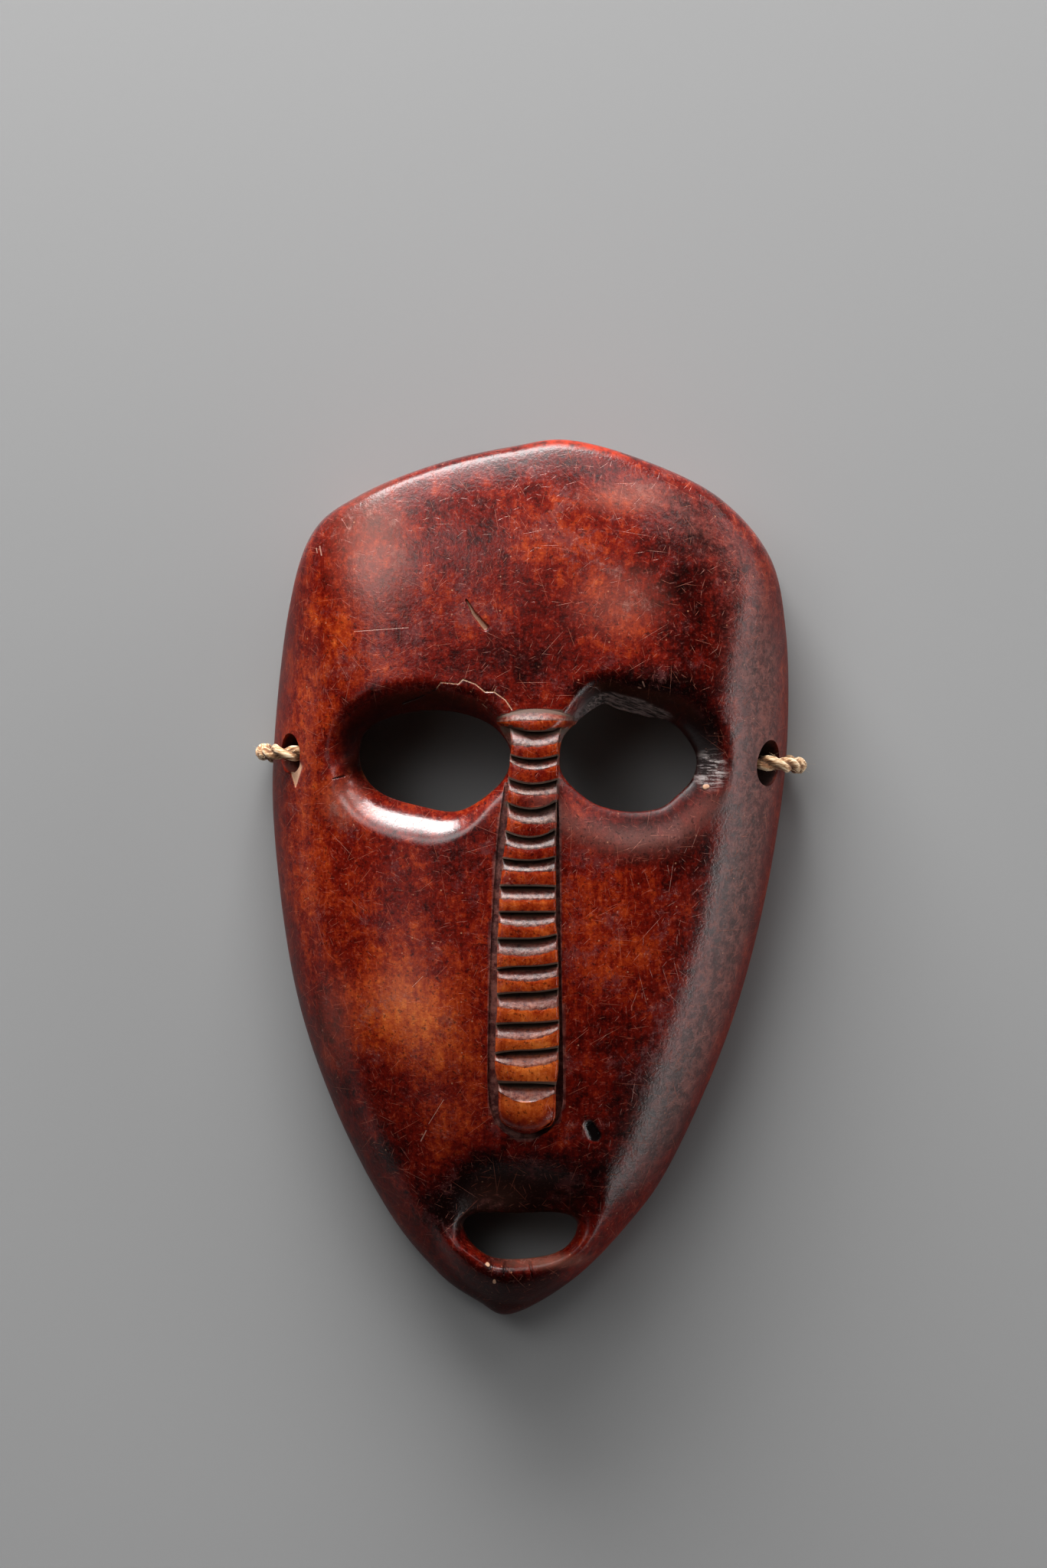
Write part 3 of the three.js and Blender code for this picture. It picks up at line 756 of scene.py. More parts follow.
LEND = 0.85  # a rung's width near its foot is lent by the next rung to this share
TOP_BOW = 1.0  # how far the nose's upper end comes down at its sides
TIP = dict(bulge=0.1, fall=0.75, sink=0.9, bow=0.9, drift=0.1, narrow=0.62, narrow_from=0.35)


def rung_line(k, kind, t, u):
    """One row of the nose: how far up the face its points are, their lift, and the nose's ends there."""
    top, crest, foot, left, right, crest_left, crest_right, foot_left, foot_right = RUNGS[k]
    to_left, to_right = np.clip(1 - 2 * u, 0, 1)**2, np.clip(2 * u - 1, 0, 1)**2
    crest_at = crest + crest_left * to_left + crest_right * to_right
    foot_at = foot + foot_left * to_left + foot_right * to_right
    side = np.abs(2 * u - 1)
    arch = ARCH * side**3
    ends = np.array([left, right])
    narrow = (1 - LEND) * ends + LEND * RUNGS[min(k + 1, LAST), 3:5]
    if kind == "slant":
        start, before = top - TOP_BOW * side**2, ends
        if k > 0:
            last = RUNGS[k - 1]
            start = last[2] + last[7] * to_left + last[8] * to_right + UNDERCUT
            before = (1 - LEND) * last[3:5] + LEND * ends
        lift = NOTCH + (CREST - arch - NOTCH) * (1 + STEEPER - STEEPER * t) * t
        return start + (crest_at - start) * t, lift, before + (ends - before) * t
    if kind == "face":
        lift = CREST - arch - FOOT_DROP * t**2 - EDGE_DROP * (1 - t)**6
        return crest_at + (foot_at - crest_at) * t, lift, ends + (narrow - ends) * t**2
    if kind == "wall":
        lift = (CREST - FOOT_DROP - arch) * (1 - t) + NOTCH * t
        return foot_at + UNDERCUT * t, lift, narrow
    round_off = np.sqrt(np.clip(1 - t**3.2, 0, 1))  # the tip, a knob that rolls over to its foot
    shorter = np.clip((t - TIP["narrow_from"]) / (1 - TIP["narrow_from"]), 0, 1)**2.6
    shrink = TIP["narrow"] + (1 - TIP["narrow"]) * math.sqrt(1 - shorter)
    middle = ends.mean() + TIP["drift"] * t
    lift = (CREST + TIP["bulge"] - TIP["fall"] * side**2.6) * round_off - TIP["sink"] * t**6
    bow = TIP["bow"] * side**2 * t**2
    return crest_at + (foot - crest_at) * t + bow, lift, middle + (ends - middle) * shrink


print("rungs:", len(RUNGS))

# %% [markdown]
# ## The nose as a grid
# Closely spaced rows and columns lie where the form bends, at the crests and at the two sides, and wide
# ones where it is flat. Three more columns on the right make the ledge. The first rung spreads into wings
# that run out under the brow. A little noise keeps the crests from looking machined, and an extrusion to
# below the face closes the block.

# %% nose
SLANT_ROWS = [0, 0.1, 0.25, 0.42, 0.58, 0.72, 0.84, 0.94]
FACE_ROWS = [0, 0.05, 0.16, 0.35, 0.6, 0.82, 0.95, 1]
WALL_ROWS = [0.12, 0.35, 0.65, 0.9]
TIP_ROWS = [0, 0.02, 0.06, 0.13, 0.22, 0.33, 0.45, 0.57, 0.68, 0.78, 0.86, 0.92, 0.97, 1]
ACROSS = [0, 0.015, 0.04, 0.08, 0.13, 0.19, 0.26, 0.34, 0.42, 0.5,
          0.58, 0.66, 0.74, 0.81, 0.87, 0.92, 0.96, 0.985, 1]
LEDGE = [(0.07, 1.35, 0.7), (0.2, 0.75, 0.7), (0.26, 0.35, 0.3)]  # how far out, its highest and lowest lift
EDGE_ROUND, EDGE_WIDE = 0.22, 0.28  # how the left edge of a rung is worn
WING_SINK = 0.1
WOBBLES = [(1.3, 5.0, 0.05), (0.5, 6.0, 0.02)]  # length, seed and height
BLOCK_DEPTH = 2.4
LEAN, LEAN_FROM = 0.22, 7  # the block gets narrower below from here up, clear of the eyes

rows = []
for k in range(len(RUNGS)):
    rest = [("face", FACE_ROWS), ("wall", WALL_ROWS)] if k < LAST else [("tip", TIP_ROWS)]
    rows += [(k, kind, t) for kind, stops in [("slant", SLANT_ROWS), *rest] for t in stops]
across = np.array(ACROSS + [1.0] * len(LEDGE))
beyond, highest, lowest = np.array([(0.0, np.inf, -np.inf)] * len(ACROSS) + LEDGE).T

bm = bmesh.new()
bmesh.ops.create_grid(bm, x_segments=len(across) - 1, y_segments=len(rows) - 1, size=1)
net = {}
for v in bm.verts:
    row, column = (1 - v.co.y) / 2 * (len(rows) - 1), (v.co.x + 1) / 2 * (len(across) - 1)
    net[round(row), round(column)] = v
for i, (k, kind, t) in enumerate(rows):
    y, lift, ends = rung_line(k, kind, t, across)
    x = ends[0] + (ends[1] - ends[0]) * across + beyond
    places = np.stack([x, y * np.ones(len(x))], 1)
    wing = np.abs(2 * across - 1)**2 if k == 0 else 0 * across
    worn = EDGE_ROUND * np.clip(1 - (x - ends[0]) / EDGE_WIDE, 0, 1)**2
    wobble = sum(grain(places, length, seed) * high for length, seed, high in WOBBLES)
    lift = np.clip(lift - worn + wobble, lowest, highest) * (1 - wing) - WING_SINK * wing
    base = swell(places * (0, 1)) - sockets(places) * wing
    for j, (x, y) in enumerate(places):
        net[i, j].co = (x, y, base[j] + lift[j])
for v in extrude_sheet(bm):
    lean = 1 - LEAN * fade(v.co.y, LEAN_FROM, 2)
    v.co = (v.co.x * lean, v.co.y, swell(np.array([[0.0, v.co.y]]))[0] - BLOCK_DEPTH)
print("nose:", len(bm.faces), "faces")
nose = keep(bm, "nose_block")

# %% [markdown]
# ## The channels beside the nose, and the cord holes
# The nose stands in a shallow chiselled bed: a flat strip on its left, a narrow groove on its right,
# meeting under the tip. The cord holes are bored square to the slanting cheeks and open like a small
# funnel. These are cuts with crisp borders, so they are made as solids and taken away with Boolean
# modifiers. The nose is then joined to its bed in the same way, which leaves one closed body with no hidden
# faces.

# %% bed of the nose
BED = np.array([  # how far up, and the bed's left and right end there
    (-29.0, -1.9, 0.4), (-28.4, -3.0, 1.7), (-27.2, -4.1, 2.9), (-25.2, -4.75, 3.55), (-21.9, -4.95, 3.6),
    (-14, -4.8, 3.45), (-5.3, -4.5, 3.25), (-1, -4.25, 3.2), (4, -3.9, 3.15), (8, -3.45, 3.1),
    (11.2, -3.0, 2.9),
])
BED_ROWS, BED_COLUMNS = 90, 10
BED_DEEP = (0.45, 0.95)  # the left strip and the right groove
BED_ROUGH = 0.06
CUTTER_TALL = 3


def bed_ends(y):
    return [np.interp(y, BED[:, 0], column) for column in BED[:, 1:].T]


bm = bmesh.new()
bmesh.ops.create_grid(bm, x_segments=BED_COLUMNS, y_segments=BED_ROWS, size=0.5)
for v in bm.verts:
    u, t = v.co.x + 0.5, v.co.y + 0.5
    y = BED[0, 0] + (BED[-1, 0] - BED[0, 0]) * math.sin(t * math.pi / 2)
    left, right = bed_ends(y)
    v.co.x, v.co.y = left + (right - left) * u, y
places = flat(bm.verts)
depth = BED_DEEP[0] + (BED_DEEP[1] - BED_DEEP[0]) * fade(places[:, 0], -1, 3)
for v, z, deep, rough in zip(bm.verts, swell(places), depth, grain(places, 0.7, 3.0)):
    v.co.z = z - deep + BED_ROUGH * rough
for v in extrude_sheet(bm):
    v.co.z += CUTTER_TALL
bed = keep(bm, "nose_bed")
print("bed: %.1f mm long" % (BED[-1, 0] - BED[0, 0]))

# %% cutters of the holes
HOLES = {  # side, x, y, radius, funnel
    "left_cord_tie": (-1, 26.8, 14.5, 2.0, 0.3),
    "right_cord_tie": (1, 26.2, 13.4, 2.25, 0.4),
}
HOLE_TILT = math.radians(52)
HOLE_HEIGHT, HOLE_LENGTH = 10.8, 14.0
HOLE_ROUGH = 0.06
REST_AT, REST_LENGTH = 27, 12  # the shallow rest in the land that each tie lies in
REST_HIGH, REST_WIDE = 1.6, 2.5


def rod(length):
    """A bmesh of a closed cylinder of radius 1."""
    bm = bmesh.new()
    bmesh.ops.create_cone(bm, cap_ends=True, segments=48, radius1=1, radius2=1, depth=length)
    return bm


def hole_cutter(name):
    side, x, y, radius, funnel = HOLES[name]
    bm = rod(HOLE_LENGTH)
    upright = [e for e in bm.edges if abs(e.verts[0].co.z - e.verts[1].co.z) > 1]
    bmesh.ops.subdivide_edges(bm, edges=upright, cuts=40)
    for v in bm.verts:
        rough = HOLE_ROUGH * noise.noise(Vector((v.co.x, v.co.y, v.co.z / 2)) * 1.4)
        wider = radius + (funnel * fade(v.co.z, -1.0, 1.8) + rough)
        v.co.x, v.co.y = v.co.x * wider, v.co.y * wider
    place = Matrix.Translation((side * x, y, HOLE_HEIGHT)) @ Matrix.Rotation(side * HOLE_TILT, 4, "Y")
    bmesh.ops.transform(bm, verts=bm.verts, matrix=place)
    return keep(bm, name + "_hole")


def rest_cutter(name):
    side, _, y, _, _ = HOLES[name]
    bm = rod(REST_LENGTH)
    place = Matrix.Translation((side * REST_AT, y, 0)) @ Matrix.Diagonal((1, REST_HIGH, REST_WIDE, 1))
    bmesh.ops.transform(bm, verts=bm.verts, matrix=place @ Matrix.Rotation(math.pi / 2, 4, "Y"))
    return keep(bm, name + "_rest")


def carve(target, tool, operation):
    """Applies one Boolean at once and removes the tool."""
    step = target.modifiers.new("cut", "BOOLEAN")
    step.operation, step.object, step.solver = operation, tool, "MANIFOLD"
    bpy.context.view_layer.update()
    mesh = bpy.data.meshes.new_from_object(target.evaluated_get(bpy.context.evaluated_depsgraph_get()))
    target.modifiers.clear()
    target.data = mesh
    bpy.data.objects.remove(tool)
    print(operation.lower(), "->", len(mesh.polygons), "faces")


carve(body, bed, "DIFFERENCE")
carve(body, nose, "UNION")
for name in HOLES:
    carve(body, hole_cutter(name), "DIFFERENCE")
    carve(body, rest_cutter(name), "DIFFERENCE")

# %% [markdown]
# ## What the surface remembers
# A polished patina is bright where hands rub it and dark where they don't reach, and a break shows the
# plain material. Some zones also carry painted light and shade. The mesh knows where its slants, notches,
# sockets, marks and back are, so these are written on its points as named numbers from 0 to 1. The
# material reads them as attributes, and they can't slide.

# %% where each point is
co = np.array([v.co[:] for v in body.data.vertices])
facing = np.array([n.vector[2] for n in body.data.vertex_normals])
places, face_x, face_y, up = co[:, :2], *co.T
share, face_angle = share_out(places), polar(places)[1]
outside = swell(places) + carving(places)
behind_front = fade(outside - up, 0.8, 1.5)
on_front = 1 - behind_front
backside = behind_front * fade(facing, 0.25, -0.3) * fade(share, 0.985, -0.01)
right_side = fade(face_x, 8, 10)
zones = {"backside": backside, "wall": fade(facing, 0.3, -0.25)}
print("points: %d in front, %d behind" % ((behind_front < 0.5).sum(), (backside > 0.5).sum()))

# %% zones of the nose and its bed
NOSE_TOP, NOSE_END = 19.6, -28.7
BED_TOP, BED_END = 11.2, -29.1


def nose_zones(x, y):
    """Which points are on a slant, deep in a notch, or on a rung's face: three numbers from 0 to 1."""
    slant, notch, rung = np.zeros((3, len(x)))
    for k, (_, _, foot, left, right, *_) in enumerate(RUNGS):
        u = np.clip((x - left) / (right - left), 0, 1)
        start = rung_line(k, "slant", 0, u)[0]
        crest = rung_line(k, "face", 0, u)[0]
        if k < LAST:
            foot = rung_line(k, "face", 1, u)[0]
        on_slant = (y > crest) & (y < start + 0.02)
        up_slant = np.clip((y - crest) / np.maximum(start - crest, 0.1), 0, 1)
        slant = np.where(on_slant, 1 - up_slant, slant)
        notch = np.where(on_slant, fade(up_slant, 0.35, 0.65), notch)
        rung = np.where((y <= crest) & (y >= foot), 1, rung)
    return {"slant": slant, "notch": notch, "rung": rung}


nose_left, nose_right = [np.interp(face_y, RUNGS[::-1, 1], RUNGS[::-1, column]) for column in (3, 4)]
in_nose = (face_x > nose_left - 0.12) & (face_x < nose_right + 0.32)
in_nose &= (face_y < NOSE_TOP) & (face_y > NOSE_END)
in_nose &= up > swell(places) - 0.35 - 2 * (face_y > 8)  # deeper between the eyes
zones.update({label: np.where(in_nose, zone, 0) for label, zone in nose_zones(face_x, face_y).items()})
bed_left, bed_right = bed_ends(face_y)
in_bed = (face_x > bed_left - 0.05) & (face_x < bed_right + 0.05) & ~in_nose
in_bed &= (face_y < BED_TOP) & (face_y > BED_END)
zones["bed"] = in_bed * on_front
print("nose:", in_nose.sum(), "points")

# %% [markdown]
# ## Zones of wear and painted light
# The rim is darker than the face. The right flank is duller, over a band that narrows and weakens towards
# the crown, and a painted sheen greys it; the steep left edge and the chin hardly shine at all. The sockets
# carry painted shade. The lower lid of the left eye is polished, and the corner of the crown is painted a
# warm red, for its wear and for a painted glow of light through the thin edge. The walls get no scratches,
# because the scratch patterns are drawn from above and would run down a wall as stripes.

# %% zones of wear
upper_right = fade(face_y, 22, 14)
flank_from, flank_to = 0.7 + 0.1 * upper_right, 1 - 0.75 * fade(share, 0.92, 0.05)
flank = right_side * fade(share, flank_from, 0.16) * flank_to * (1 - 0.5 * upper_right)
scooped = np.clip(scoop(places) / 2.5, 0, 1) * on_front
dull_from = 0.84 + 0.09 * right_side + 0.05 * (1 - right_side) * at_chin(face_angle)
dull_edge = fade(share, dull_from, 0.07) * (1 - backside) * fade(face_y, 42, -8)
worn_edge = fade(share, 0.975, 0.012) * fade(face_x, -2, 4) * fade(face_x, 12, -3) * fade(up, 11.5, 2.5)
left_lid = fade(LEFT.line.nearest(places)[1], 4.6, -1.5) * fade(face_y, 13.5, -2)
zones.update({
    "socket": np.clip(sockets(places) / 3.0, 0, 1) * (1 - backside),
    "rim": fade(share, 0.9, 0.09) * (1 - backside) * fade(face_y, 40, -8),
    "flank": flank * (1 - backside),
    "scooped": scooped,
    "dull_edge": np.maximum(dull_edge, scooped * 0.6),
    "polished": left_lid * on_front * ~in_nose,
    "worn_edge": worn_edge * (face_y > 40),
})


def bore_zone(side, x, y, radius, _):
    """1 inside a cord hole, behind the face."""
    out = co - (side * x, y, HOLE_HEIGHT)
    axis = np.array((side * math.sin(HOLE_TILT), 0, math.cos(HOLE_TILT)))
    beside = np.linalg.norm(out - (out @ axis)[:, None] * axis, axis=1)
    return fade(beside, radius + 0.6, -0.4) * fade(outside - up, 0.3, 0.8)


zones["bore"] = sum(bore_zone(*hole) for hole in HOLES.values())
print("worn:", (zones["worn_edge"] > 0.5).sum(), "points of the crown's edge")

# %% zones of the right eye and the marks
FRAY = dict(at=(20.3, 12.6), reach=(2.0, 2.2))  # the splintered outer corner of the right eye
right_far = RIGHT.line.nearest(places)[1]
_, _, right_out, _, right_facet = RIGHT.form(places)
from_fray = np.hypot(*((places - FRAY["at"]) / FRAY["reach"]).T)
broken = right_facet * smooth(2.2 - 1.6 * right_far / np.maximum(right_out, 0.2)) * fade(right_far, 3.0, -0.5)
# painted sheen: a pale band of reflected light along the right eye's lower lid
lid_haze = np.exp(-((right_far - 3.3) / 1.6)**2) * fade(face_y, 12, -4) * (right_far > 0)
zones.update({
    "lid_haze": lid_haze * on_front,
    "lid_dull": fade(right_far, 5, -2) * fade(face_y, 12, -3) * on_front,
    "frayed": smooth(1.6 - 1.3 * from_fray) * (right_far > -0.2) * on_front,
    "broken": broken * fade(up, 12, 2),
})
strengths = {name: mark_strength(places, one) for name, one in MARKS.items()}
for tone in ("pale", "dark"):
    zones[tone + "_mark"] = on_front * np.max([strengths[name] * MARKS[name][tone] for name in MARKS], axis=0)
for label, values in zones.items():
    body.data.attributes.new(label, "FLOAT", "POINT").data.foreach_set("value", values.astype(np.float32))
    print("%-10s on %d points" % (label, (values > 0.02).sum()))

# %% [markdown]
# ## The finished mask
# A piece is finished in the same way each time: millimetres become metres, the faces are shaded smooth
# except over true edges, the piece is tied to its body, and the CAD solid that it stands for is hidden.
# Its material is given later.

# %% finishing a piece
SHARP_FROM = math.radians(38)


def triangles(made):
    return sum(len(p.vertices) - 2 for p in made.data.polygons)


def finish_piece(made, name, replaced):
    made.data.transform(Matrix.Scale(MM, 4))
    made.data.shade_smooth()
    made.data.set_sharp_from_angle(angle=SHARP_FROM)
    made.name = made.data.name = name
    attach(made, "root")
    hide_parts(replaced)
    print(name + ":", triangles(made), "triangles")


finish_piece(body, "carved_mask", "mask")

# %% [markdown]
# ## The cord ties
# Each side has a short tie of coarse plant fibre, two strands twisted together, about 2 mm thick. It comes
# out of its hole, bends round the rim, crosses the land behind in a shallow rest and ends in a knot inside
# the hollow. A tube with a two-lobed section that turns as it goes gives the twist. The fibres run along
# the strands, so each point also stores where it is on its strand, and a few stray fibres are thin, tapered
# hairs.

# %% a bent tube
STRAND, STRAND_APART = 0.5, 0.4  # the radius of a strand, and how far its middle is from the cord's
TWIST = 5.2  # mm of cord for one full turn
FIBRE_TURN = 1.8  # how fast the fibres wind round their own strand, in radians for each mm
CURVE_STEPS = 40


def open_curve(points, steps):
    """A smooth curve through points in space, evenly spaced."""
    at = np.array(points, float)
    at = np.vstack([2 * at[0] - at[1], at, 2 * at[-1] - at[-2]])
    t = np.linspace(0, 1, CURVE_STEPS, endpoint=False)[:, None]
    parts = [through(*four, t) for four in zip(at, at[1:], at[2:], at[3:])]
    curve = np.vstack([*parts, at[-2:-1]])
    along = np.concatenate([[0], np.cumsum(np.linalg.norm(np.diff(curve, axis=0), axis=1))])
    even = np.linspace(0, along[-1], steps)
    return np.stack([np.interp(even, along, column) for column in curve.T], 1), even


def unit(vectors):
    return vectors / np.linalg.norm(vectors, axis=1)[:, None]


def tube(bm, points, steps, around, radius, fibre_at, full=STRAND + STRAND_APART):
    """Adds a closed cylinder bent along a curve. radius(along, angle) gives its section in millimetres."""
    curve, along = open_curve(points, steps)
    tangent = unit(np.gradient(curve, axis=0))
    side = unit(np.cross(tangent, (0, 1, 0)))
    other = np.cross(tangent, side)
    own = bmesh.new()
    fibre, groove = own.verts.layers.float_vector.new("fibre"), own.verts.layers.float.new("groove")
    bmesh.ops.create_cone(own, cap_ends=True, segments=around, radius1=1, radius2=1, depth=2)
    upright = [e for e in own.edges if abs(e.verts[0].co.z - e.verts[1].co.z) > 1]
    bmesh.ops.subdivide_edges(own, edges=upright, cuts=steps - 2)
    for v in own.verts:
        k, angle = round((v.co.z + 1) / 2 * (steps - 1)), math.atan2(v.co.y, v.co.x)
        r = radius(along[k], angle)
        v.co = curve[k] + r * (math.cos(angle) * side[k] + math.sin(angle) * other[k])
        v[fibre] = fibre_at(along[k], angle, r)
        v[groove] = smooth(2.6 * (1 - r / full)) if full else 0.0
    part = bpy.data.meshes.new("part")
    own.to_mesh(part)
    own.free()
    bm.from_mesh(part)
    bpy.data.meshes.remove(part)


def lobed(along, angle):
    """The cord's section: two round strands side by side, turning with the twist."""
    turned = angle - 2 * math.pi * along / TWIST
    across, beside = STRAND_APART * abs(math.cos(turned)), STRAND_APART * math.sin(turned)
    reach = across + math.sqrt(max(0.0, STRAND**2 - beside**2))
    return reach + 0.05 * noise.noise(Vector((along / 0.7, 2 * math.cos(turned), 2 * math.sin(turned))))


def on_strand(along, angle, r):
    """Where a point lies in its strand: round it, with the strand's own twist, and along it."""
    turned = angle - 2 * math.pi * along / TWIST
    strand = math.copysign(1, math.cos(turned))
    wind = math.atan2(r * math.sin(turned), r * math.cos(turned) - strand * STRAND_APART) + along * FIBRE_TURN
    return math.cos(wind), math.sin(wind) + 7 * strand, along


print("cord: %.1f mm thick" % (2 * (STRAND + STRAND_APART)))

# %% ties
TIE_LOOP = [  # away from the middle, up, and the cord's small sway along the face
    (22.5, 4.8, 0), (22.8, 7.4, 0.1), (24.3, 9.7, 0.15), (26.1, 11.9, 0.05), (28.1, 12.05, -0.1),
    (29.75, 10.1, -0.25), (30.6, 7, -0.3), (30.8, 4.4, -0.2), (30.6, 2.3, 0), (29.6, 1.25, 0.1),
    (27.6, 1.1, 0.1), (25.2, 1.25, 0), (23.2, 2.2, 0), (22.6, 3.4, 0),
]
AROUND, STEPS, TAIL_STEPS = 40, 150, 24
TAIL = [(0, 0), (0.5, 1.9), (0.2, 3.7), (-0.4, 5.4)]
TAIL_FALL = 0.25
KNOT = dict(x=22.4, z=4.1, radius=1.35, long=1.1, ridge=0.13, ridges=3)
STRAYS, STRAY_THICK, STRAY_TAPER = 34, 0.035, 1.6
SEEDS = {-1: 11, 1: 12}


def add_knot(bm, side, y):
    """A ball with ridges that wind round it, as a cord's turns do in a tight knot."""
    fibre, groove = bm.verts.layers.float_vector["fibre"], bm.verts.layers.float["groove"]
    knot = bmesh.ops.create_uvsphere(bm, u_segments=40, v_segments=28, radius=KNOT["radius"])["verts"]
    for v in knot:
        wrap = KNOT["ridges"] * (math.atan2(v.co.z, v.co.x) + 1.3 * v.co.y)
        v[fibre] = (math.cos(wrap), math.sin(wrap), 4 * v.co.y)
        v[groove] = smooth(-math.cos(wrap))
        v.co *= 1 + KNOT["ridge"] * math.cos(wrap)
        v.co = (v.co.x + side * KNOT["x"], v.co.y * KNOT["long"] + y, v.co.z + KNOT["z"])


def stray_radius(along, angle):
    return STRAY_THICK * max(0.15, 1 - along / STRAY_TAPER)


def add_strays(bm, loop, random):
    """Thin hairs that stand off the cord, each leaning along it one way or the other."""
    curve, _ = open_curve(loop, 200)
    for k in random.integers(30, 150, STRAYS):
        out = random.normal(size=3)
        out /= np.linalg.norm(out)
        start = curve[k] + 0.6 * out
        lean = 3 * (curve[k + 3] - curve[k]) * random.choice([-1, 1]) + 0.3 * random.normal(size=3)
        stray = [start, start + 0.2 * out + 0.4 * lean, start + (0.35 + 0.3 * random.random()) * out + lean]
        tube(bm, stray, 7, 5, stray_radius, lambda along, angle, r, k=k: (k, angle / 9, along / 9), full=0)


def tie(name):
    side, _, y, _, _ = HOLES[name]
    bm = bmesh.new()
    bm.verts.layers.float_vector.new("fibre")
    bm.verts.layers.float.new("groove")
    add_knot(bm, side, y)
    loop = [(side * x, y + side * sway, z) for x, z, sway in TIE_LOOP]
    tube(bm, loop, STEPS, AROUND, lobed, on_strand)
    for way in (-1, 1):
        tail = [(side * (KNOT["x"] - x), y + way * far, KNOT["z"] - TAIL_FALL * far) for x, far in TAIL]
        tube(bm, tail, TAIL_STEPS, AROUND, lobed, on_strand)
    add_strays(bm, loop, np.random.default_rng(SEEDS[side]))
    made = keep(bm, name + "_cord")
    finish_piece(made, "twisted_" + name, name)
    return made


ties = [tie(name) for name in HOLES]

# %% [markdown]
# ## Shader sums in plain Python
# A procedural material is arithmetic on patterns. Written node by node it is unreadable, so a small class
# wraps a socket and lets Python's own signs add the Math nodes. Anything that isn't arithmetic comes from
# one method, node(), which takes a node's type, its settings and the values or links of its sockets.

# %% values
class Value:
    """An output socket of a material that can be added, subtracted and multiplied."""

    def __init__(self, recipe, socket):
        self.recipe, self.socket = recipe, socket

    def math(self, operation, *others):
        return self.recipe.node("ShaderNodeMath", dict(operation=operation), self, *others)

    def __add__(self, other):
        return self.math("ADD", other)

    def __sub__(self, other):
        return self.math("SUBTRACT", other)

    def __rsub__(self, other):
        return self.recipe.node("ShaderNodeMath", dict(operation="SUBTRACT"), other, self)

    def __mul__(self, other):
        return self.math("MULTIPLY", other)

    __radd__, __rmul__ = __add__, __mul__

    def between(self, low, high):
        """0 below low, 1 above high, smooth in between."""
        return self.recipe.node("ShaderNodeMapRange", dict(interpolation_type="SMOOTHSTEP"),
                                self, low, high, 0.0, 1.0)

    def swing(self, size):
        """A pattern's swing to both sides of its middle, made as large as size."""
        return (self - 0.5) * size


def total(values):
    return functools.reduce(operator.add, values)


def paint(red, green, blue):
    """A colour as it looks on screen, 0 to 255, turned to the linear light that a shader wants."""
    return tuple(c / 255 / 12.92 if c < 11 else ((c / 255 + 0.055) / 1.055)**2.4 for c in (red, green, blue))


print("mid grey on screen: %.3f in linear light" % paint(128, 128, 128)[0])

# %% recipes
COLOUR_A = 6  # the place of a Mix node's first colour among its sockets


class Recipe:
    """One material, made of nodes that are added by name."""

    def __init__(self, name):
        self.material = bpy.data.materials.new(name)
        self.material.use_nodes = True
        self.tree = self.material.node_tree
        self.tree.nodes.clear()

    def node(self, kind, settings, *values, out=0, **named):
        """Adds a node: its settings first, then its sockets' values or links, in their order or by name."""
        made = self.tree.nodes.new(kind)
        for key, setting in settings.items():
            if key == "stops":
                for at, _ in setting[1:-1]:
                    made.color_ramp.elements.new(at)
                for stop, (at, colour) in zip(made.color_ramp.elements, setting):
                    stop.position, stop.color = at, (*colour, 1)
            else:
                setattr(made, key, setting)
        for key, value in [*enumerate(values), *named.items()]:
            socket = made.inputs[key if isinstance(key, int) else key.replace("_", " ")]
            if isinstance(value, Value):
                self.tree.links.new(value.socket, socket)
            elif value is not None:
                socket.default_value = (*value, 1) if socket.type == "RGBA" else value
        return Value(self, made.outputs[out]) if made.outputs else None

    def mix(self, factor, a, b):
        settings = dict(data_type="RGBA", blend_type="MIX")
        return self.node("ShaderNodeMix", settings, factor, *[None] * (COLOUR_A - 1), a, b, out=2)

    def coats(self, colour, *coats):
        """Lays coats over a colour, one after another. Each is how much of it covers, and its own colour."""
        for cover, coat in coats:
            colour = self.mix(cover, colour, coat)
        return colour

    def attribute(self, name, out="Fac"):
        return self.node("ShaderNodeAttribute", dict(attribute_name=name), out=out)

    def vector(self, operation, *values, out="Vector", **named):
        return self.node("ShaderNodeVectorMath", dict(operation=operation), *values, out=out, **named)

    def part(self, vector, out):
        return self.node("ShaderNodeSeparateXYZ", {}, vector, out=out)

    def cells(self, at, size, out):
        return self.node("ShaderNodeTexVoronoi", dict(feature="F1"), at, Scale=1 / size, out=out)

    def noise(self, at, length, detail, roughness, shift=None, squeeze=None):
        """A noise pattern of a given length, moved or squeezed first so that no two are alike."""
        if shift:
            at = self.vector("ADD", at, shift)
        if squeeze:
            at = self.vector("MULTIPLY", at, squeeze)
        return self.node("ShaderNodeTexNoise", {}, at, Scale=1 / length, Detail=detail, Roughness=roughness)

    def finish(self, dull=None, **sockets):
        """Ends the recipe with its shader. Where dull is high, the surface has no shine."""
        shader = self.node("ShaderNodeBsdfPrincipled", {}, **sockets)
        if dull is not None:
            sockets.update(Specular_IOR_Level=0.06, Coat_Weight=0)
            shader = self.node("ShaderNodeMixShader", {}, dull, shader,
                               self.node("ShaderNodeBsdfPrincipled", {}, **sockets))
        self.node("ShaderNodeOutputMaterial", {}, shader)
        return self.material


def dress(made, material):
    made.data.materials.clear()
    made.data.materials.append(material)


patina = Recipe("red_patina")
print("recipe:", patina.material.name)
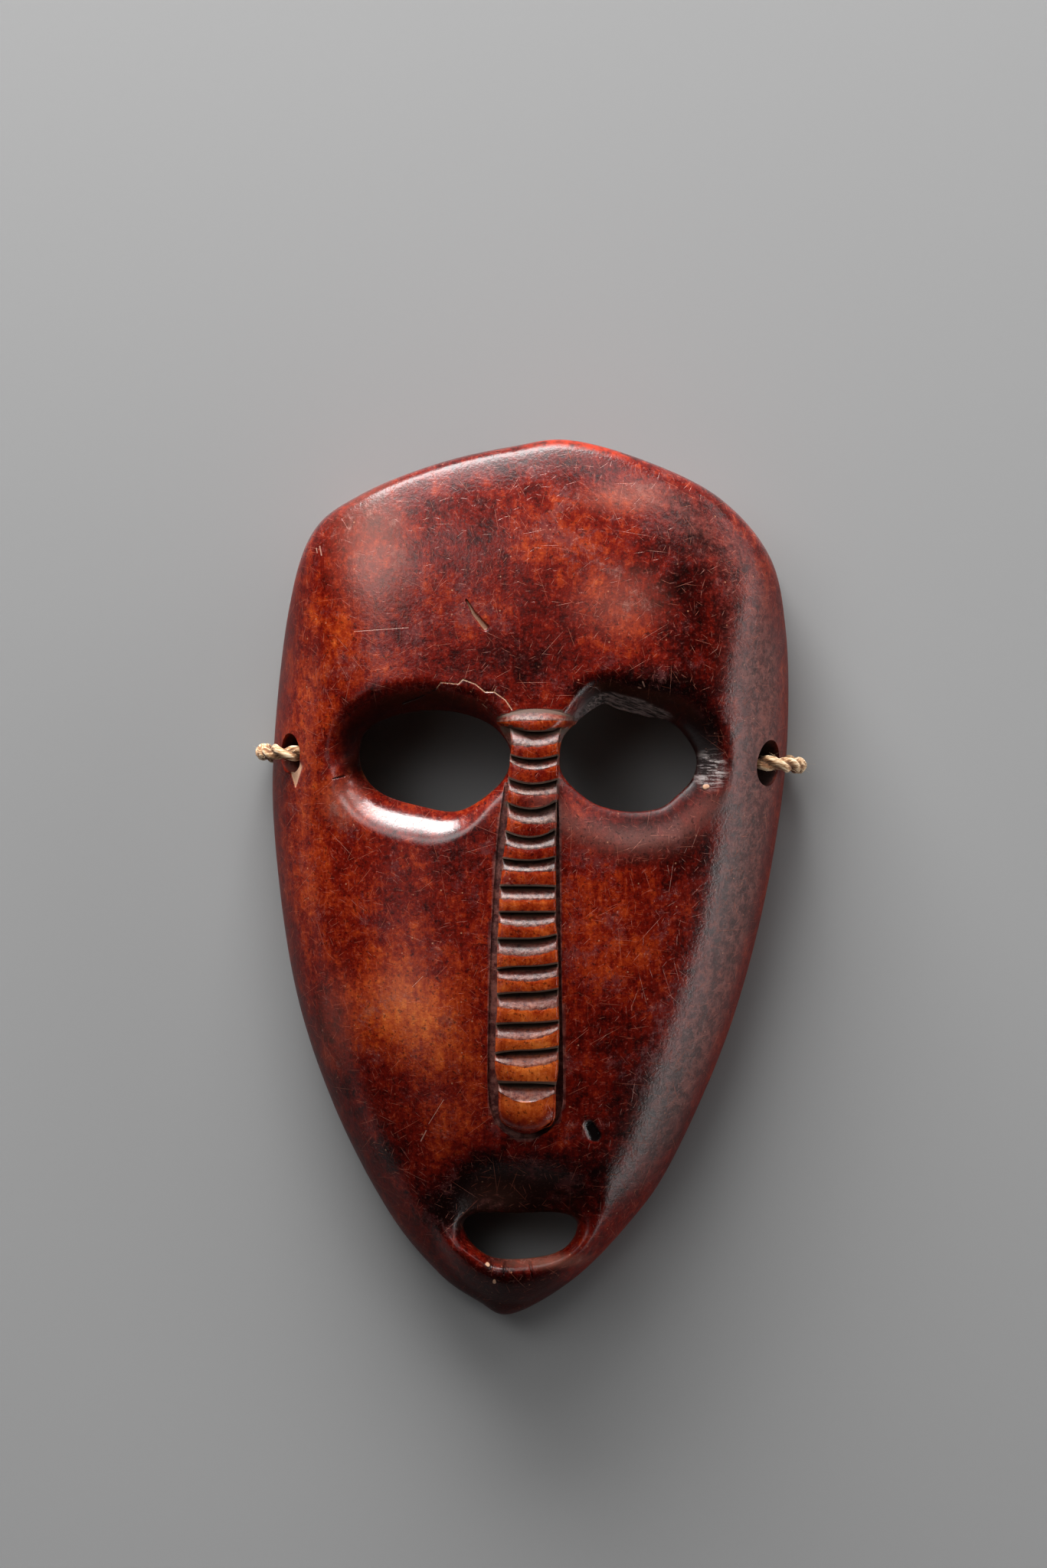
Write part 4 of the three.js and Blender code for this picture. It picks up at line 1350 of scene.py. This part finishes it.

# %% [markdown]
# ## The patina
# The colour is layered as the real one is: a warm orange body shows through a deep red stain in blotches;
# a plum-grey film lies over parts of it; a fine mottle and faint upright grain run through all. Soft round
# patches, which the noise breaks up, add the strongest glow, the deepest stain together with painted shade
# round the eyes, under the nose tip, over the mouth, at the chin and over the crown, and painted highlights
# of pale reflected light.

# %% patterns of the patina
GLOWS = [  # where the body shows through most: x, y, radius across, radius up, strength
    (4, 37, 7, 6, 0.5), (-7, 32, 6, 8, 0.2), (9, 29, 6, 6, 0.3), (-15, -14, 6, 7, 0.95), (-25, 6, 3, 16, 0.4),
    (-8, -18, 5, 9, 0.5), (10, -8, 5, 9, 0.3), (-21, 28, 5, 9, 0.3), (-10, -29, 4, 4, 0.25),
    (0, -20, 3.2, 8, 0.9), (-25, 20, 3, 6, 0.3),
]
STAIN_AND_SHADE_PATCHES = [  # where the stain is deepest, and painted shade: round the eyes, under the nose tip, over the mouth and at its corner, at the chin, and over the crown and forehead
    (-4, 48, 16, 3, 0.35), (0, 34, 20, 13, 0.35), (-0.6, -28.2, 3.4, 1.6, 1.0), (-2, -35, 10, 5, 1.7),
    (-4, 24.5, 9, 3.5, 0.35), (19, 2, 7, 16, 0.4), (-7, 3, 4, 5, 0.4), (18, 33, 6, 11, 0.6),
    (12, -25, 8, 12, 0.7), (-2, -47.5, 12, 4, 1.2), (-16, -31, 2, 2, 0.7), (-18.5, 19.5, 4, 4, 0.4),
    (-11, 21, 7, 2.0, 0.4), (14, 22.0, 7, 2.4, 1.3), (7.5, 21.6, 5, 1.6, 0.7), (19.5, 17, 2.4, 4, 1.4),
    (11, 5, 8, 3, 0.6), (-20, -28, 6, 12, 0.3), (0, 8, 3.2, 12, 0.5), (-9, -38, 4, 3, 1.2),
]
SHEEN_PATCHES = [  # painted highlights: pale patches of reflected light on the forehead, the cheeks, round the left eye and the mouth
    (9.8, 31.5, 5, 4, 0.22), (10.5, 43.3, 5, 1.8, 0.3), (-18, 38, 4.5, 8, 0.3), (-15, -12.5, 3.6, 3.6, 0.16),
    (-21, 9, 2.5, 2.5, 0.3), (-22, -16, 2.5, 6, 0.15), (-4, -36, 3, 2, 0.1), (1.6, -43.3, 5, 0.9, 0.6),
]
PATCH_HEIGHT, PATCH_DEEP = 14.0, 30.0  # a patch's middle and its radius through the face


def patch(at, x, y, wide, high, strength):
    """A soft field that is high round one place."""
    middle, radii = (x, y, PATCH_HEIGHT), (wide, high, PATCH_DEEP)
    away = patina.vector("DIVIDE", patina.vector("SUBTRACT", at, middle), radii)
    return (1 - patina.vector("LENGTH", away, out="Value").between(0.0, 1.5)) * strength


at = patina.vector("SCALE", patina.node("ShaderNodeTexCoord", {}, out="Object"), Scale=1 / MM)
on = {label: patina.attribute(label) for label in zones}
glow, stain_and_shade, painted_sheen = [total([patch(at, *row) for row in table]) for table in (GLOWS, STAIN_AND_SHADE_PATCHES, SHEEN_PATCHES)]
broad = patina.noise(at, 9.0, 3.0, 0.5)
blotch = patina.noise(at, 3.2, 5.0, 0.66)
mottle = patina.noise(at, 1.1, 4.0, 0.7, shift=(17.0, 5.0, 0.0))
streak = patina.noise(at, 1.0, 4.0, 0.6, squeeze=(1.9, 0.22, 0.4))
clouds = patina.noise(at, 3.6, 8.0, 0.8, shift=(31.0, 7.0, 0.0))
dusting = patina.noise(at, 0.36, 2.0, 0.7, shift=(9.0, 22.0, 0.0))
pores = patina.noise(at, 0.42, 2.0, 0.6, shift=(3.0, 40.0, 0.0))
print("patches:", len(GLOWS), "of glow,", len(STAIN_AND_SHADE_PATCHES), "of shade,", len(SHEEN_PATCHES), "of haze")

# %% stain, film and dust
SPECK_CELL = 1.1  # mm: one pale speck in some of the cells

warmth = glow - stain_and_shade + on["rung"] * 0.6 + broad.swing(1.1) + blotch.swing(1.7) + mottle.swing(2.0) \
    + streak.swing(1.0) + dusting.swing(0.9)
stain = patina.node("ShaderNodeValToRGB", dict(stops=[
    (0.0, paint(20, 2, 1)), (0.2, paint(54, 4, 2)), (0.42, paint(102, 16, 6)), (0.6, paint(142, 43, 13)),
    (0.8, paint(184, 78, 26)), (1.0, paint(214, 112, 44)),
]), warmth * 0.36 + 0.42)
film = (clouds + broad.swing(0.35) - on["polished"] * 0.2).between(0.53, 0.66)
# painted sheen: the grey band of reflected light down the right flank, broken up by the mottle
painted_flank_sheen = patina.mix((mottle + dusting * 0.5).between(0.62, 0.92), paint(60, 29, 25), paint(118, 76, 68))
chosen = patina.part(patina.cells(at, SPECK_CELL, out="Color"), "X").between(0.72, 0.78)
speck = (1 - patina.cells(at, SPECK_CELL, out="Distance").between(0.05, 0.12)) * chosen
colour = patina.coats(
    stain,
    (film * 0.5, paint(92, 42, 42)),
    # painted sheen on the right eye's lower lid
    (on["lid_haze"] * 0.6, paint(112, 66, 58)),
    # pale dust, which also stands in for a fine painted sparkle of light
    (dusting.between(0.56, 0.72) * (0.08 + film * 0.3), paint(180, 130, 118)),
    ((1 - pores.between(0.32, 0.42)) * 0.6, paint(26, 6, 5)),
    # painted highlights: the pale patches of reflected light
    (painted_sheen * 0.7 + film * painted_sheen, paint(184, 124, 106)),
    (on["flank"] * 0.7, painted_flank_sheen),
    # pale specks: partly real specks, partly a painted sparkle of light
    (speck * 0.6, paint(190, 130, 100)),
)
print("nodes so far:", len(patina.tree.nodes))

# %% [markdown]
# ## Scratches and worn edges
# Hundreds of hairlines cross the real surface. A Voronoi pattern gives each of its cells one middle and one
# random colour, which become one scratch and its direction, and four such layers of different cell sizes
# look like chance. The few long scratches that stand out in the photograph are placed one by one.

# %% scratches
SCRATCH_LAYERS = [  # cell, length, width, shift
    (3.4, 1.5, 0.04, 3.0), (5.6, 2.6, 0.035, 11.0), (1.9, 0.8, 0.035, 23.0), (1.2, 0.5, 0.035, 31.0),
]
LONG_SCRATCHES = [  # start, end, width
    ((-19.9, 28.2), (-13.8, 28.6), 0.06), ((-12.5, -29.4), (-11.9, -28.2), 0.1),
    ((-11.6, -27.4), (-9.9, -24.6), 0.06), ((-23.9, 37.9), (-23.7, 36.9), 0.12),
    ((-24.3, 37.7), (-24.2, 37.2), 0.1), ((-12.2, -10.6), (-13.4, -11.8), 0.06),
    ((12.5, 22.5), (12.7, 22.0), 0.13), ((12.0, 21.9), (12.3, 21.8), 0.12),
]
FLATTEN = (1.0, 1.0, 0.05)  # the cells are tall columns, so that a slope doesn't cut through many of them


def scratches(cell, length, width, shift):
    """Straight hairlines, one in each cell of a pattern, every one turned its own way."""
    shifted = patina.vector("ADD", at, (shift, shift * 2.0, 0.0))
    flat_at = patina.vector("MULTIPLY", shifted, FLATTEN)
    away = patina.vector("SUBTRACT", flat_at, patina.cells(flat_at, cell, out="Position"))
    random = patina.cells(flat_at, cell, out="Color")
    angle = patina.part(random, "X") * 6.28
    turned = patina.node("ShaderNodeVectorRotate", dict(rotation_type="Z_AXIS"), away, Angle=angle)
    line = 1 - patina.part(turned, "Y").math("ABSOLUTE").between(0.0, width)
    ends = 1 - patina.part(turned, "X").math("ABSOLUTE").between(length * 0.3, length)
    return line * ends * patina.part(random, "Y").between(0.35, 0.75)


def hairline(start, end, width):
    """One straight, thin scratch."""
    step = Vector((*end, 0)) - Vector((*start, 0))
    away = patina.vector("SUBTRACT", at, (*start, 0.0))
    flat_at = patina.vector("MULTIPLY", away, (1.0, 1.0, 0.0))
    along = patina.vector("DOT_PRODUCT", flat_at, step / step.length_squared, out="Value")
    nearest = patina.vector("SCALE", tuple(step), Scale=patina.node("ShaderNodeClamp", {}, along))
    return 1 - patina.vector("DISTANCE", flat_at, nearest, out="Value").between(0.0, width)


lines = total([scratches(*layer) for layer in SCRATCH_LAYERS]) * (1 - on["wall"])
cuts = total([hairline(*scratch) for scratch in LONG_SCRATCHES])
colour = patina.coats(
    colour,
    (lines * 0.5, paint(186, 104, 80)),
    (cuts.math("MINIMUM", 1.0) * 0.6, paint(206, 158, 138)),
    (on["rim"] * 0.4, paint(60, 5, 3)),
    # wear and painted glow: the crown's thin top edge is warm red, worn and lit through
    (on["worn_edge"] * mottle.between(0.3, 0.6) * 0.85, paint(168, 46, 16)),
    # painted shade: the sockets darken almost to black under the brows
    (on["socket"].between(0.08, 0.75) * 0.85, paint(16, 1, 1)),
)
print("scratches:", len(SCRATCH_LAYERS), "layers and", len(LONG_SCRATCHES), "of their own")

# %% [markdown]
# ## Dirt, painted shade, the back and the breaks
# Grey dust sits on the slants of the nose and in its bed. The notches are dark with dirt and with painted
# shade under each rung, and the cord holes are painted dark inside as painted shade. The back is guessed
# as plain brown material that was never polished. Along the broken upper edge of the right eye the bare,
# grey material shows its grain, which runs slantwise, and the frayed corner shows pale fibres.

# %% dirt, painted shade, back and breaks
FRACTURE_TURN = 0.45
fracture_at = patina.node("ShaderNodeVectorRotate", dict(rotation_type="Z_AXIS"), at, Angle=FRACTURE_TURN)
fracture = patina.noise(fracture_at, 1.0, 5.0, 0.7, squeeze=(0.5, 3.2, 2.0))
fibres = patina.noise(at, 1.0, 5.0, 0.7, squeeze=(0.5, 3.4, 0.6))
dust = (mottle + on["notch"] * 0.25).between(0.42, 0.62)
slant_tone = patina.mix(pores.between(0.35, 0.65), paint(50, 32, 27), paint(124, 98, 86))
back_tone = patina.mix(blotch.between(0.3, 0.7), paint(92, 44, 26), paint(150, 92, 56))
break_tone = patina.mix(fracture.between(0.4, 0.62), paint(22, 15, 15), paint(128, 112, 108))
splintered = (fibres + blotch.swing(0.8)).between(0.5, 0.62)
fray_tone = patina.mix(splintered, paint(30, 12, 10), paint(190, 176, 172))
colour = patina.coats(
    colour,
    (on["slant"] * 0.75, slant_tone),
    # dirt and painted shade: the notches are dark under each rung's undercut
    (on["notch"].between(0.0, 0.7), patina.mix(dust, paint(12, 5, 4), paint(74, 54, 44))),
    (on["bed"] * 0.7, patina.mix(dust, paint(56, 28, 26), paint(120, 82, 74))),
    (on["backside"], back_tone),
    # painted shade: the cord holes are dark inside
    (on["bore"].math("MINIMUM", 1.0) * 0.9, paint(30, 14, 9)),
    (on["broken"].between(0.1, 0.6), break_tone),
    (on["frayed"] * (mottle + fibres * 0.5).between(0.6, 0.85), fray_tone),
    (on["pale_mark"].between(0.25, 0.7), paint(206, 160, 130)),
    (on["dark_mark"].between(0.2, 0.8), paint(14, 6, 6)),
)
print("nodes with the colour done:", len(patina.tree.nodes))

# %% [markdown]
# ## Relief and shine
# The fine relief is the same patterns again, as heights in millimetres that feed one Bump node. The polish
# is one low roughness, and each zone adds its own dullness. The worn lower lid has a thin clear coat over
# it. On the dull edges a second, matt shader takes over, because roughness alone would still mirror the
# pale floor.

# %% relief and shine
POLISH = 0.2
DULLER = dict(notch=0.45, broken=0.3, backside=0.3, bed=0.25, slant=0.18, socket=0.25, scooped=0.14,
              flank=0.2, lid_dull=0.15, polished=-0.07, rim=0.2, worn_edge=0.2, frayed=0.25, bore=0.4,
              lid_haze=0.12)

height = blotch.swing(0.03) + mottle.swing(0.02) + dusting.swing(on["flank"] * 0.03 + 0.028) \
    - lines * 0.012 - cuts * 0.02 + fracture.swing(on["broken"]) * 0.3 \
    + mottle.swing(on["slant"] + on["bed"] + on["flank"] * 0.5) * 0.08 + fibres.swing(on["frayed"]) * 0.25
bump = patina.node("ShaderNodeBump", {}, Height=height * MM, Distance=1.0, Strength=1.0)
roughness = POLISH + film * 0.12 + blotch.swing(0.12) + painted_sheen * 0.1 \
    + total([on[label] * more for label, more in DULLER.items()])
dress(body, patina.finish(
    dull=on["dull_edge"] * 0.85,
    Base_Color=colour, Roughness=roughness, Normal=bump,
    Subsurface_Weight=0.06, Subsurface_Radius=(1.0, 0.25, 0.1), Subsurface_Scale=MM,
    Coat_Weight=on["polished"] * 0.6, Coat_Roughness=0.26, Coat_IOR=1.6,
    IOR=1.43, Specular_IOR_Level=0.42,
))
print("patina:", len(patina.tree.nodes), "nodes")

# %% [markdown]
# ## The cord's fibre
# Plant fibre is straw-coloured and browner where hands and dust have been; between its strands it is
# painted darker, as painted shade. The pattern follows the fibre attribute, so it winds round the strands
# and along them as real fibres do.

# %% fibre
straw = Recipe("plant_fibre")
fibre = straw.attribute("fibre", out="Vector")
groove = straw.attribute("groove")
fine = straw.noise(fibre, 1.0, 4.0, 0.65, squeeze=(3.2, 3.2, 0.8))
tufts = straw.noise(fibre, 1.0, 3.0, 0.6, squeeze=(1.3, 1.3, 1.1))
# the groove term is painted shade, darker between the strands and in the knot's valleys
cord_colour = straw.node("ShaderNodeValToRGB", dict(stops=[
    (0.0, paint(70, 38, 20)), (0.4, paint(140, 92, 54)), (0.58, paint(200, 156, 112)),
    (0.76, paint(234, 204, 166)), (1.0, paint(248, 226, 196)),
]), fine.swing(1.3) + tufts.swing(1.5) + 0.7 - groove * 0.32)
cord_height = (fine.swing(0.12) + tufts.swing(0.15)) * MM
cord_bump = straw.node("ShaderNodeBump", {}, Height=cord_height, Distance=1.0, Strength=1.0)
fibre_finish = straw.finish(Base_Color=cord_colour, Roughness=0.8, Normal=cord_bump, Sheen_Weight=0.1)
for made in ties:
    dress(made, fibre_finish)
print("fibre:", len(straw.tree.nodes), "nodes")

# %% [markdown]
# ## Light
# A low, bright panel past the crown draws the fine highlights: along the crown's turned edge, the lower
# lids, the lips and the crests of the rungs. A wide, weaker one above it softens them. A long panel low on
# the right lays the grey band down that side, and a narrow one carries it up round the crown's corner. Weak
# panels higher up lay the pale haze over the left of the forehead and the cheek. The room itself is dim, so
# that the patina keeps its depth. Each panel is a few panels in one place, each smaller than the last, so
# its edges fade softly.

# %% lights
AIM = Vector((0, 0, 12)) * MM
AWAY = 0.7  # metres from the mask
STEP_CLOSER = 0.01  # each smaller panel stands a little in front of the larger one
SOFT_STEPS = (1.0, 0.8, 0.6, 0.4)
FIRM_STEPS = (1.0, 0.85, 0.7)
PANELS = [  # name, azimuth from the viewer's right over the crown, elevation, size in metres, radiance, steps
    ("crown_bright", 101, 15, (0.60, 0.34), 26.0, FIRM_STEPS),
    ("crown_wide", 100, 35, (0.60, 0.20), 6.5, SOFT_STEPS),
    ("left_haze", 136, 54, (0.40, 0.52), 4.2, SOFT_STEPS),
    ("top_haze", 66, 43, (0.24, 0.22), 4.6, SOFT_STEPS),
    ("brow_haze", 102, 72, (0.42, 0.34), 0.35, SOFT_STEPS),
    ("cheek_haze", 205, 52, (0.30, 0.30), 0.8, SOFT_STEPS),
    ("right_upper", 38, 20, (0.42, 0.16), 5.0, SOFT_STEPS),
    ("right_band", -12, 7, (1.30, 0.18), 7.5, SOFT_STEPS),
]
ROOM_COLOUR, ROOM_STRENGTH = (0.9, 0.93, 1.0, 1), 0.02
FLOOR_COLOUR = (0.28, 0.28, 0.28)


def panel(name, azimuth, elevation, size, radiance, steps):
    """A soft panel, brighter towards its middle."""
    turn, rise = math.radians(azimuth), math.radians(elevation)
    out = Vector((math.cos(turn) * math.cos(rise), math.sin(turn) * math.cos(rise), math.sin(rise)))
    for share in steps:
        light = bpy.data.lights.new(name, "AREA")
        light.shape, light.size, light.size_y = "RECTANGLE", size[0] * share, size[1] * share
        light.energy = radiance / len(steps) * math.pi * light.size * light.size_y
        made = bpy.data.objects.new(name, light)
        made.location = AIM + (AWAY - STEP_CLOSER * (1 - share)) * out
        made.rotation_euler = out.to_track_quat("Z", "Y").to_euler()
        bpy.context.collection.objects.link(made)


for row in PANELS:
    panel(*row)
world = bpy.context.scene.world or bpy.data.worlds.new("room")
bpy.context.scene.world = world
world.use_nodes = True
world.node_tree.nodes["Background"].inputs["Color"].default_value = ROOM_COLOUR
world.node_tree.nodes["Background"].inputs["Strength"].default_value = ROOM_STRENGTH
bpy.context.scene.view_settings.view_transform = "Standard"
dress(floor, Recipe("pale_floor").finish(Base_Color=FLOOR_COLOUR, Roughness=0.9))
print("lights:", len(PANELS), "panels")
